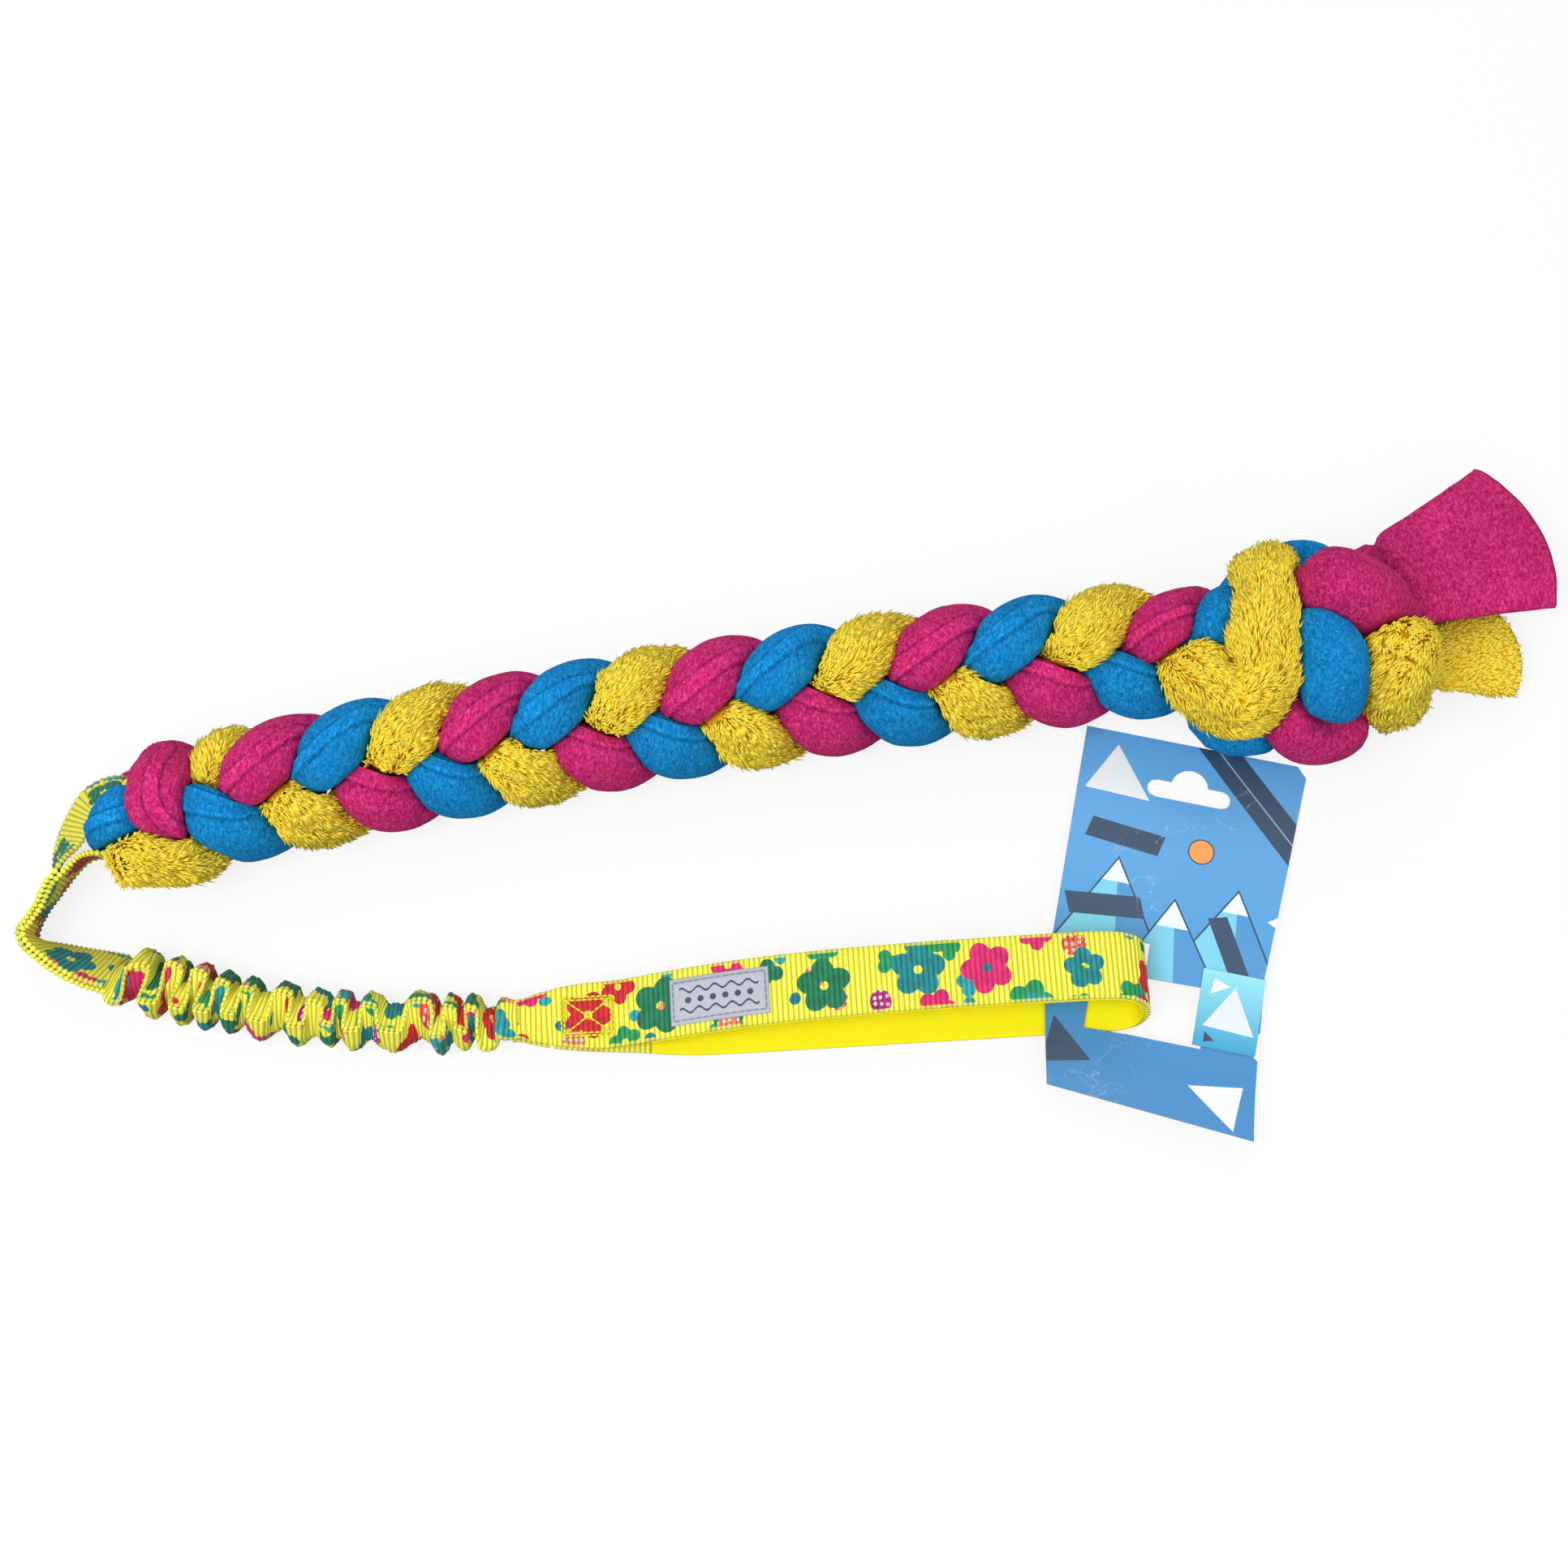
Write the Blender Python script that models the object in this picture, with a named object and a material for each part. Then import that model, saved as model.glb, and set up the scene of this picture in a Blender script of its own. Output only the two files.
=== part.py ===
"""Bungee tug toy, lying on a floor at z = 0, in metres.

Three fat fabric strands (pink fleece, blue fleece, yellow fur) are plaited, tied in a knot at one end and
folded through a webbing loop at the other. The loop's legs run round a folded neck into a gathered webbing
sleeve with elastic inside, which ends in a lined webbing hand loop. A hang card is threaded on the hand loop.
+X runs along the toy from the loop to the knot, and +Y runs from the hand loop to the plait.
"""

import math

import bmesh
import bpy
import numpy as np
from mathutils.bvhtree import BVHTree

# Plait: three strands that weave across and through each other about one bowed axis.
PLAIT_START = (-0.2316, -0.0048)
PLAIT_END = (0.1540, 0.0594)
PLAIT_BOW = 0.0065
PLAIT_SWAY = 0.0115
PLAIT_RISE = 0.0075
PLAIT_ROLL = math.radians(28)
PLAIT_TURNS = 4.66
PLAIT_TIGHTER_START_SHARE = 0.069
PLAIT_FIRST_TURN_SHARE = -0.345
PLAIT_END_SHARE = 0.955
PLAIT_POINTS_A_TURN = 16
STRAND_STEP = 0.0058

# Strands: tubes of one fabric, fat where nothing presses on them.
STRAND_RADIUS = 0.0130
STRAND_GAP = 0.0009
STRAND_SIDES = 10
STRAND_BEND_SHARE = 0.80
STRAND_SELF_REACH = 0.026
NEIGHBOUR_REACH = 0.052
CLEAR_GAP = 0.0006
CLEAR_DEPTH = 0.0080
CLEAR_PASSES = 60
CLEAR_PULL_SHARE = 0.05
BLOCK_RINGS = 4
LEAST_FACING = 0.02
ROUTE_SAMPLES = 24
FLOOR_CUT = 0.0008

# Knot: an overhand knot, of which each strand's route is given in shares of the knot's half sizes.
KNOT_CENTRE = (0.1930, 0.0580)
KNOT_HALF_LENGTH = 0.0365
KNOT_HALF_WIDTH = 0.0358
KNOT_HALF_HEIGHT = 0.0270
KNOT_STRAND_RADIUS = 0.0165
KNOT_EASE = 0.0080
KNOT_YELLOW_SHARES = (
    (-1.14, -0.46, 0.30),
    (-0.86, -0.62, 0.24),
    (-0.62, -0.46, 0.40),
    (-0.55, -0.08, 0.52),
    (-0.52, 0.22, 0.48),
    (-0.45, 0.46, 0.36),
    (-0.33, 0.66, 0.06),
    (-0.17, 0.46, -0.22),
    (-0.10, 0.20, -0.52),
    (0.20, -0.06, -0.58),
    (0.60, -0.10, -0.42),
    (0.78, -0.02, 0.02),
    (0.72, -0.20, 0.38),
    (0.68, -0.38, 0.12),
    (0.82, -0.38, -0.34),
)
KNOT_BLUE_SHARES = (
    (-1.02, 0.14, 0.16),
    (-0.78, 0.22, 0.12),
    (-0.48, 0.10, 0.06),
    (-0.16, 0.04, 0.36),
    (0.06, -0.20, 0.50),
    (0.12, -0.46, 0.36),
    (0.06, -0.56, -0.04),
    (-0.30, -0.52, -0.42),
    (-0.80, -0.62, -0.46),
    (-0.76, -0.18, -0.56),
    (-0.60, 0.22, -0.54),
    (-0.40, 0.58, -0.44),
    (-0.04, 0.76, -0.30),
    (0.34, 0.66, -0.40),
    (0.80, 0.50, -0.66),
)
KNOT_PINK_SHARES = (
    (-1.06, 0.30, -0.20),
    (-0.84, -0.02, -0.16),
    (-0.58, -0.34, -0.04),
    (-0.30, -0.60, -0.08),
    (0.00, -0.74, -0.30),
    (0.30, -0.62, -0.44),
    (0.36, -0.34, -0.26),
    (0.18, 0.06, -0.10),
    (-0.04, 0.30, 0.10),
    (-0.06, 0.44, 0.42),
    (0.20, 0.42, 0.54),
    (0.50, 0.32, 0.36),
    (0.72, 0.34, 0.04),
)

# Tails: each strand's end past the knot, flattened, with its heading and lengths.
TAIL_STEP = 0.0090
PINK_TAIL_LENGTH = 0.0640
PINK_TAIL_HEADING = math.radians(22)
PINK_TAIL_START = (0.2240, 0.0840, 0.0200)
PINK_TAIL_NECK_WIDTH = 0.0370
PINK_TAIL_END_WIDTH = 0.0640
PINK_TAIL_THICKNESS = 0.0075
PINK_TAIL_DROP = 0.0050
YELLOW_TAIL_LENGTH = 0.0400
YELLOW_TAIL_HEADING = math.radians(8)
YELLOW_TAIL_START = (0.2360, 0.0570, 0.0120)
YELLOW_TAIL_NECK_WIDTH = 0.0240
YELLOW_TAIL_END_WIDTH = 0.0400
YELLOW_TAIL_THICKNESS = 0.0090
YELLOW_TAIL_DROP = 0.0050
BLUE_TAIL_LENGTH = 0.0420
BLUE_TAIL_HEADING = math.radians(20)
BLUE_TAIL_START = (0.2300, 0.0820, 0.0060)
BLUE_TAIL_NECK_WIDTH = 0.0260
BLUE_TAIL_END_WIDTH = 0.0360
BLUE_TAIL_THICKNESS = 0.0070
BLUE_TAIL_DROP = 0.0010
TAIL_POINTS = 4
TAIL_TURN_RINGS = 9
TAIL_EASE_RINGS = 3

# Start: the strands' folds round the far side of the webbing loop, placed from the loop's far side.
FOLD_PLACE = (-0.2370, -0.0110)
BLUE_FOLD = (
    (0.0120, 0.0085, 0.0060),
    (0.0040, 0.0040, 0.0044),
    (-0.0040, 0.0010, 0.0044),
    (-0.0115, 0.0000, 0.0072),
    (-0.0155, 0.0005, 0.0145),
    (-0.0135, 0.0015, 0.0235),
    (-0.0050, 0.0035, 0.0275),
    (0.0040, 0.0070, 0.0200),
    (0.0100, 0.0085, 0.0190),
    (0.0160, 0.0060, 0.0250),
    (0.0230, 0.0025, 0.0300),
)
PINK_FOLD = (
    (-0.0210, 0.0175, 0.0060),
    (-0.0110, 0.0205, 0.0060),
    (0.0000, 0.0225, 0.0090),
    (0.0060, 0.0195, 0.0180),
    (0.0055, 0.0125, 0.0300),
    (0.0055, 0.0045, 0.0330),
    (0.0090, -0.0010, 0.0280),
    (0.0120, -0.0015, 0.0190),
    (0.0150, -0.0005, 0.0110),
    (0.0195, 0.0030, 0.0085),
)
YELLOW_FOLD = (
    (-0.0080, -0.0065, 0.0190),
    (-0.0045, -0.0075, 0.0235),
    (0.0030, -0.0080, 0.0255),
    (0.0100, -0.0080, 0.0240),
    (0.0160, -0.0060, 0.0200),
    (0.0205, 0.0000, 0.0185),
    (0.0225, 0.0090, 0.0200),
    (0.0240, 0.0165, 0.0250),
)
PINK_STRAND_TURN_SHARE = 0
YELLOW_STRAND_TURN_SHARE = 1 / 3
BLUE_STRAND_TURN_SHARE = 2 / 3
BLUE_JOIN_SHARE = 0.066
PINK_JOIN_SHARE = 0.047
YELLOW_JOIN_SHARE = 0.064

# Webbing: one printed ribbon width for the loop, neck, sleeve and hand loop, in layers sewn together.
WEB_WIDTH = 0.0245
WEB_THICKNESS = 0.0016
LAYER_GAP = 0.0005
END_GAP = 0.0004
SLEEVE_START_GAP = 0.0010
WEB_STEP = 0.0030
WEB_FLOOR_CUT = 0.0005
OBSTACLE_POINTS = 9

# Loop round the strands' folds: x, y and lift of its foot, how far its top leans inward in degrees, and the
# share of the web's width that is left where it is bunched under the strands.
LOOP_ROUTE = (
    (-0.2732, -0.0268, 0.0000),
    (-0.2716, -0.0210, 0.0000),
    (-0.2688, -0.0135, 0.0005),
    (-0.2647, -0.0048, 0.0020),
    (-0.2597, 0.0022, 0.0050),
    (-0.2527, 0.0050, 0.0085),
    (-0.2458, 0.0036, 0.0095),
    (-0.2402, 0.0000, 0.0095),
    (-0.2375, -0.0055, 0.0090),
    (-0.2385, -0.0115, 0.0075),
    (-0.2425, -0.0165, 0.0040),
    (-0.2475, -0.0200, 0.0005),
    (-0.2525, -0.0210, 0.0000),
    (-0.2580, -0.0192, 0.0000),
    (-0.2632, -0.0200, 0.0000),
    (-0.2676, -0.0242, 0.0000),
)
LOOP_LEAN_DEGREES = (3, 14, 28, 36, 37, 40, 50, 60, 66, 64, 58, 34, 4, -6, -6, -6)
LOOP_WIDTH_SHARES = (1, 1, 1, 1, 1, 0.88, 0.68, 0.54, 0.50, 0.50, 0.54, 0.70, 0.92, 1, 1, 1)
LOOP_CLEARANCE = 0.0005
HINGE_GAP = 0.0003

# Strap: two layers from the loop's foot down the neck, round the turn and twisting flat to the sleeve, with
# its foot's shares of the sleeve's middle height and its leans in degrees.
STRAP_ROUTE = (
    (-0.2742, -0.0315),
    (-0.2777, -0.0385),
    (-0.2808, -0.0448),
    (-0.2818, -0.0492),
    (-0.2785, -0.0528),
    (-0.2715, -0.0562),
    (-0.2635, -0.0595),
    (-0.2562, -0.0617),
)
STRAP_HEIGHT_SHARES = (0, 0, 0, 0, 0.02, 0.14, 0.52, 0.96, 1)
STRAP_LEAN_DEGREES = (0, 0, 2, 6, 16, 34, 62, 87, 90)
STRAP_TURN_POINT = 3
STRAP_STEP = 0.0020
BARTACK_WIDTH = 0.0200
BARTACK_THICKNESS = 0.0008
BARTACK_FROM_STEPS = 2
BARTACK_STEPS = 3

# Sleeve: two gathered webs over a flat elastic.
SLEEVE_ROUTE = (
    (-0.2494, -0.0634),
    (-0.2173, -0.0712),
    (-0.1901, -0.0770),
    (-0.1631, -0.0800),
    (-0.1363, -0.0812),
    (-0.1126, -0.0808),
    (-0.1010, -0.0806),
)
SLEEVE_WAVES = 13
SLEEVE_WAVE_STEPS = 8
SLEEVE_WAVE_HEIGHT = 0.0062
SLEEVE_EDGE_SWAY = 0.0016
SLEEVE_TAPER_SHARE = 0.06
SLEEVE_WIDTH = 0.0225
SLEEVE_END_WIDTH = 0.0140
ELASTIC_WIDTH = 0.0160
ELASTIC_THICKNESS = 0.0030
ELASTIC_GAP = 0.0004

# Hand loop: distances along its heading from the sleeve's end, and heights of the web's middle.
HANDLE_START = (-0.1004, -0.0806)
HANDLE_HEADING = math.radians(3.4)
HANDLE_LEAN_SHARE = 0.38
HANDLE_STEP = 0.0045
THROAT_WIDTH_SHARE = 0.58
THROAT_TAPER = 0.0320
THROAT_TOP_DISTANCES = (-0.0030, 0.0180, 0.0350)
THROAT_BACK_DISTANCES = (0.0240, 0.0120)
HANDLE_TOP_ROUTE = (
    (0.0540, 0.0142),
    (0.0780, 0.0186),
    (0.1080, 0.0218),
    (0.1450, 0.0236),
    (0.1850, 0.0242),
    (0.2120, 0.0238),
    (0.2235, 0.0210),
    (0.2285, 0.0145),
)
HANDLE_LOW_ROUTE = (
    (0.2278, 0.0065),
    (0.2225, 0.0022),
    (0.2120, 0.0008),
    (0.1950, 0.0008),
    (0.1450, 0.0008),
    (0.1000, 0.0008),
    (0.0640, 0.0016),
    (0.0400, 0.0060),
)
LINING_WIDTH = 0.0252
LINING_THICKNESS = 0.0016
LINING_FROM = 0.0560
THROAT_WEB_LENGTH = 0.0135
STITCH_FROM = 0.0150
STITCH_LENGTH = 0.0200
STITCH_WIDTH = 0.0150
STITCH_THREAD = 0.0014
STITCH_CORNER_SHARE = 0.9
STITCH_THICKNESS = 0.0006
LABEL_FROM = 0.0557
LABEL_LENGTH = 0.0360
LABEL_WIDTH = 0.0170
LABEL_THICKNESS = 0.0008
LABEL_RINGS = 9

# Hang card: a bent board with a hang hole and a window that the hand loop passes through.
CARD_CORNER = (0.1122, 0.0344)
CARD_HEADING = math.radians(-11.6)
CARD_WIDTH = 0.0850
CARD_HEIGHT = 0.1450
CARD_THICKNESS = 0.0007
CARD_FLOOR_GAP = 0.0002
CARD_TAIL_LIFT = 0.0060
CARD_OUTLINE_SHARES = (
    (0.000, 0.000),
    (0.955, 0.000),
    (1.000, 0.028),
    (0.976, 0.270),
    (0.941, 0.575),
    (0.985, 1.000),
    (0.088, 0.960),
    (0.006, 0.695),
)
CARD_WINDOW_SHARES = (
    (0.205, 0.550),
    (0.430, 0.550),
    (0.430, 0.640),
    (0.688, 0.636),
    (0.715, 0.792),
    (0.394, 0.792),
    (0.205, 0.797),
)
CARD_BEND_SHARES = (0.10, 0.20, 0.30, 0.38, 0.45, 0.52, 0.80, 0.84, 0.88, 0.92, 0.96)
CARD_RISE_SHARE = 0.52
CARD_TAIL_SHARE = 0.80
HANG_HOLE_PLACE_SHARES = (0.496, 0.132)
HANG_HOLE_LENGTH = 0.0320
HANG_HOLE_HEIGHT = 0.0070
HANG_HOLE_BUMP_RADIUS = 0.0072
HANG_HOLE_BUMP_LIFT = 0.0022
HANG_HOLE_ARC_POINTS = 6
STICKER_CORNER_SHARES = (0.674, 0.585)
STICKER_WIDTH = 0.0232
STICKER_HEIGHT = 0.0290
STICKER_THICKNESS = 0.0003

# Finishes: each one's colour and roughness share.
FINISHES = {
    "pink_fleece": ((0.55, 0.05, 0.20), 0.95),
    "blue_fleece": ((0.01, 0.25, 0.58), 0.95),
    "yellow_fur": ((0.90, 0.62, 0.06), 0.95),
    "printed_web": ((0.82, 0.78, 0.08), 0.70),
    "lining": ((0.95, 0.90, 0.02), 0.60),
    "elastic": ((0.85, 0.83, 0.70), 0.85),
    "thread": ((0.80, 0.78, 0.12), 0.80),
    "label": ((0.45, 0.48, 0.54), 0.75),
    "card": ((0.09, 0.35, 0.66), 0.45),
    "sticker": ((0.14, 0.55, 0.78), 0.35),
}


def start_empty_file():
    for item in list(bpy.data.objects):
        bpy.data.objects.remove(item, do_unlink=True)


def material(name):
    colour, roughness = FINISHES[name]
    made = bpy.data.materials.new(name)
    made.use_nodes = True
    shader = made.node_tree.nodes["Principled BSDF"]
    shader.inputs["Base Color"].default_value = (*colour, 1)
    shader.inputs["Roughness"].default_value = roughness
    shader.inputs["Metallic"].default_value = 0
    return made


def smooth_route(points, step, placed=3):
    """Points about a step apart on a smooth curve, measured on the first placed columns."""
    given = [np.array(p, float) for p in points]
    ends = [2 * given[0] - given[1]] + given + [2 * given[-1] - given[-2]]
    fine = []
    for a, b, c, d in zip(ends, ends[1:], ends[2:], ends[3:]):
        for share in np.linspace(0, 1, ROUTE_SAMPLES, endpoint=False):
            cubic = (-a + 3 * b - 3 * c + d) * share**3
            square = (2 * a - 5 * b + 4 * c - d) * share**2
            fine.append((2 * b + (c - a) * share + square + cubic) / 2)
    fine.append(given[-1])
    fine = np.array(fine)
    steps = np.linalg.norm(np.diff(fine[:, :placed], axis=0), axis=1)
    along = np.concatenate(([0], np.cumsum(steps)))
    count = max(2, round(along[-1] / step) + 1)
    wanted = np.linspace(0, along[-1], count)
    return np.stack([np.interp(wanted, along, column) for column in fine.T], axis=1)


def weave_height():
    """How far a strand's centre line goes above or below the plait's axis."""
    angle = np.linspace(0, 2 * math.pi, 181)
    lift = PLAIT_SWAY * np.sin(angle) * math.sin(PLAIT_ROLL)
    return float(np.max(lift + PLAIT_RISE * np.sin(2 * angle) * math.cos(PLAIT_ROLL)))


def plait_point(share, strand_turn):
    """A strand's centre at a share of the plait's length, for its own third of a turn."""
    start = np.array(PLAIT_START)
    run = np.array(PLAIT_END) - start
    side = np.array((-run[1], run[0])) / np.linalg.norm(run)
    turns = PLAIT_TURNS * (share + PLAIT_TIGHTER_START_SHARE * share * (1 - share))
    angle = 2 * math.pi * (turns + PLAIT_FIRST_TURN_SHARE + strand_turn)
    sway = PLAIT_SWAY * math.sin(angle)
    rise = PLAIT_RISE * math.sin(2 * angle)
    across = sway * math.cos(PLAIT_ROLL) - rise * math.sin(PLAIT_ROLL)
    up = sway * math.sin(PLAIT_ROLL) + rise * math.cos(PLAIT_ROLL)
    bow = 4 * PLAIT_BOW * share * (1 - share)
    plan = start + run * share + side * (across + bow)
    axis_height = weave_height() + STRAND_RADIUS - FLOOR_CUT
    return (plan[0], plan[1], axis_height + up)


def plait_points(strand_turn, first_share):
    count = round(PLAIT_POINTS_A_TURN * PLAIT_TURNS)
    shares = np.linspace(first_share, PLAIT_END_SHARE, count)
    return [plait_point(share, strand_turn) for share in shares]


def knot_points(shares):
    centre = np.array((*KNOT_CENTRE, KNOT_HALF_HEIGHT))
    half = np.array((KNOT_HALF_LENGTH, KNOT_HALF_WIDTH, KNOT_HALF_HEIGHT))
    return [tuple(centre + half * np.array(share)) for share in shares]


def fold_points(places):
    return [(FOLD_PLACE[0] + x, FOLD_PLACE[1] + y, z) for x, y, z in places]


def tail_points(start, heading, length, drop):
    points = []
    for share in np.linspace(0, 1, TAIL_POINTS):
        x = start[0] + length * share * math.cos(heading)
        y = start[1] + length * share * math.sin(heading)
        points.append((x, y, start[2] - drop * share))
    return points


def ring_frames(route, flat_from):
    """Tangent and two cross directions at each point, turned level from flat_from on."""
    tangents = np.gradient(route, axis=0)
    tangents /= np.linalg.norm(tangents, axis=1)[:, None]
    first = np.cross(tangents[0], (0, 0, 1))
    sides = [first / np.linalg.norm(first)]
    for tangent in tangents[1:]:
        side = sides[-1] - tangent * np.dot(sides[-1], tangent)
        sides.append(side / np.linalg.norm(side))
    sides = np.array(sides)
    ups = np.cross(sides, tangents)
    level = np.cross(tangents[flat_from], (0, 0, 1))
    level /= np.linalg.norm(level)
    swing = math.atan2(np.dot(level, ups[flat_from]), np.dot(level, sides[flat_from]))
    if swing > math.pi / 2:
        swing -= math.pi
    if swing < -math.pi / 2:
        swing += math.pi
    turned = []
    for index, (side, up) in enumerate(zip(sides, ups)):
        share = min(1, max(0, (index - flat_from + TAIL_TURN_RINGS) / TAIL_TURN_RINGS))
        angle = swing * share
        turned.append((side * math.cos(angle) + up * math.sin(angle), up * math.cos(angle) - side * math.sin(angle)))
    return tangents, turned


def allowed_reach(centre, directions, others):
    """How far each direction runs before it is nearer to another centre line, less half the gap."""
    away = others - centre
    far = np.linalg.norm(away, axis=1)
    near = far < NEIGHBOUR_REACH
    away = away[near]
    far = far[near]
    if len(far) == 0:
        return np.full(len(directions), np.inf)
    facing = directions @ (away / far[:, None]).T
    half = (far / 2 - STRAND_GAP / 2)[None, :]
    reach = np.where(facing > LEAST_FACING, half / np.maximum(facing, LEAST_FACING), np.inf)
    return reach.min(axis=1)


def wall_reach(centre, directions, walls):
    """How far each direction runs before it meets the loop's web, less a clearance."""
    away = walls - centre
    far = np.linalg.norm(away, axis=1)
    near = far < NEIGHBOUR_REACH
    away = away[near]
    far = far[near]
    if len(far) == 0:
        return np.full(len(directions), np.inf)
    facing = directions @ (away / far[:, None]).T
    clear = (far - WEB_THICKNESS / 2 - LOOP_CLEARANCE)[None, :]
    reach = np.where(facing > LEAST_FACING, clear / np.maximum(facing, LEAST_FACING), np.inf)
    return np.maximum(reach.min(axis=1), LOOP_CLEARANCE)


def strand_rings(route, widths, heights, flat_from, others, walls):
    """Rings of a fat tube along the route that stops half a gap short of every neighbour."""
    tangents, frames = ring_frames(route, flat_from)
    bends = np.gradient(tangents, axis=0)
    steps = np.linalg.norm(np.gradient(route, axis=0), axis=1)
    along = np.concatenate(([0], np.cumsum(np.linalg.norm(np.diff(route, axis=0), axis=1))))
    rings = []
    for index, centre in enumerate(route):
        side, up = frames[index]
        angles = 2 * math.pi * np.arange(STRAND_SIDES) / STRAND_SIDES
        directions = np.outer(np.cos(angles), side) + np.outer(np.sin(angles), up)
        stretch = np.hypot(np.cos(angles) / widths[index], np.sin(angles) / heights[index])
        reach = 1 / stretch
        inward = directions @ (bends[index] / steps[index])
        bend_reach = STRAND_BEND_SHARE / np.maximum(inward, LEAST_FACING)
        reach = np.minimum(reach, np.where(inward > 0, bend_reach, np.inf))
        own_far = route[np.abs(along - along[index]) > STRAND_SELF_REACH]
        neighbours = np.concatenate((others, own_far))
        reach = np.minimum(reach, allowed_reach(centre, directions, neighbours))
        reach = np.minimum(reach, wall_reach(centre, directions, walls))
        down = -directions[:, 2]
        floor_reach = centre[2] / np.maximum(down, LEAST_FACING)
        reach = np.minimum(reach, np.where(down > 0, floor_reach, np.inf))
        rings.append(centre + directions * reach[:, None])
    return rings


def add_object(name, shape, smooth, finish):
    """Turns a finished bmesh into a named object with one material."""
    bmesh.ops.recalc_face_normals(shape, faces=shape.faces)
    bmesh.ops.triangulate(shape, faces=shape.faces)
    mesh = bpy.data.meshes.new(name)
    shape.to_mesh(mesh)
    shape.free()
    if smooth:
        mesh.shade_smooth()
    mesh.materials.append(finish)
    made = bpy.data.objects.new(name, mesh)
    bpy.context.collection.objects.link(made)
    return made


def closed_loft(name, rings, smooth, finish):
    """A closed solid through the rings, with a flat face at each end."""
    shape = bmesh.new()
    loops = [[shape.verts.new(point) for point in ring] for ring in rings]
    for ring, following in zip(loops, loops[1:]):
        for index in range(len(ring)):
            after = (index + 1) % len(ring)
            shape.faces.new((ring[index], ring[after], following[after], following[index]))
    shape.faces.new(list(reversed(loops[0])))
    shape.faces.new(loops[-1])
    return add_object(name, shape, smooth, finish)


def strand_route(fold, strand_turn, join_share, knot, tail):
    woven = fold_points(fold) + plait_points(strand_turn, join_share) + knot_points(knot)
    body = smooth_route(woven + tail[:1], STRAND_STEP)
    end = smooth_route(tail, TAIL_STEP)
    return np.concatenate((body, end[1:])), len(body) - 1


def knot_share(point):
    """One inside the knot, falling to nothing just outside it."""
    away = math.dist(point[:2], KNOT_CENTRE)
    return min(1, max(0, (KNOT_HALF_LENGTH + KNOT_EASE - away) / KNOT_EASE))


def tail_sizes(route, flat_from, neck_width, end_width, thickness):
    """Half width and half height of a strand at each ring: fatter in the knot, flat in the tail."""
    fat = np.array([STRAND_RADIUS + (KNOT_STRAND_RADIUS - STRAND_RADIUS) * knot_share(p) for p in route])
    widths = fat.copy()
    heights = fat.copy()
    last = len(route) - 1
    for index in range(flat_from, last + 1):
        share = (index - flat_from) / (last - flat_from)
        widths[index] = (neck_width + (end_width - neck_width) * share) / 2
        heights[index] = thickness / 2
    for index in range(flat_from - TAIL_EASE_RINGS, flat_from):
        share = (index - flat_from + TAIL_EASE_RINGS + 1) / (TAIL_EASE_RINGS + 1)
        widths[index] += (neck_width / 2 - widths[index]) * share
        heights[index] += (thickness / 2 - heights[index]) * share
    return widths, heights


def web_faces(route, across):
    """Unit face direction of a web at each point of its route, from its edge directions."""
    faces = np.cross(np.gradient(route, axis=0), across)
    return faces / np.linalg.norm(faces, axis=1)[:, None]


def web_rings(route, across, width, thickness, offset=0):
    """Four-cornered rings of a web whose middle is moved off the route along its face."""
    faces = web_faces(route, across)
    half_widths = np.broadcast_to(width, len(route)) / 2
    offsets = np.broadcast_to(offset, len(route))
    rings = []
    for centre, edge, face, half, away in zip(route, across, faces, half_widths, offsets):
        middle = centre + face * away
        wide = edge * half
        thick = face * thickness / 2
        rings.append((middle - wide - thick, middle + wide - thick, middle + wide + thick, middle - wide + thick))
    return rings


def leaning_web(points, widths):
    """Route of a web's middle and its edge direction from x, y, foot height and lean in degrees."""
    plan = points[:, :2]
    tangents = np.gradient(plan, axis=0)
    tangents /= np.linalg.norm(tangents, axis=1)[:, None]
    lean = np.radians(points[:, 3])
    inward = np.stack((tangents[:, 1], -tangents[:, 0]), axis=1) * np.sin(lean)[:, None]
    across = np.column_stack((inward, np.cos(lean)))
    height = points[:, 2] + widths * np.cos(lean) / 2
    return np.column_stack((plan, height)), across


def layer_offset():
    return (WEB_THICKNESS + LAYER_GAP) / 2


def elastic_offset():
    return (ELASTIC_THICKNESS + WEB_THICKNESS) / 2 + ELASTIC_GAP


def sleeve_middle_height():
    return elastic_offset() + SLEEVE_WAVE_HEIGHT + WEB_THICKNESS / 2 - WEB_FLOOR_CUT


def strap_points():
    """The strap's route with true foot heights, and the number of the point on the turn."""
    first = np.array(SLEEVE_ROUTE[0])
    run = np.array(SLEEVE_ROUTE[1]) - first
    last = first - run / np.linalg.norm(run) * SLEEVE_START_GAP
    plan = (*STRAP_ROUTE, tuple(last))
    rows = [(*place, *more) for place, *more in zip(plan, STRAP_HEIGHT_SHARES, STRAP_LEAN_DEGREES)]
    points = smooth_route(rows, STRAP_STEP, placed=2)
    points[:, 2] *= sleeve_middle_height()
    turn = np.array(STRAP_ROUTE[STRAP_TURN_POINT])
    return points, int(np.argmin(np.linalg.norm(points[:, :2] - turn, axis=1)))


def loop_points():
    """The loop's route, from the strap's outer layer round to its inner layer."""
    strap = strap_points()[0][:2, :2]
    run = (strap[1] - strap[0]) / np.linalg.norm(strap[1] - strap[0])
    side = np.array((run[1], -run[0]))
    foot = strap[0] - run * HINGE_GAP
    outer = (*(foot + side * layer_offset()), 0, 0, 1)
    inner = (*(foot - side * layer_offset()), 0, 0, 1)
    rows = [(*place, *more) for place, *more in zip(LOOP_ROUTE, LOOP_LEAN_DEGREES, LOOP_WIDTH_SHARES)]
    return smooth_route((outer, *rows, inner), WEB_STEP, placed=2)


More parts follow.
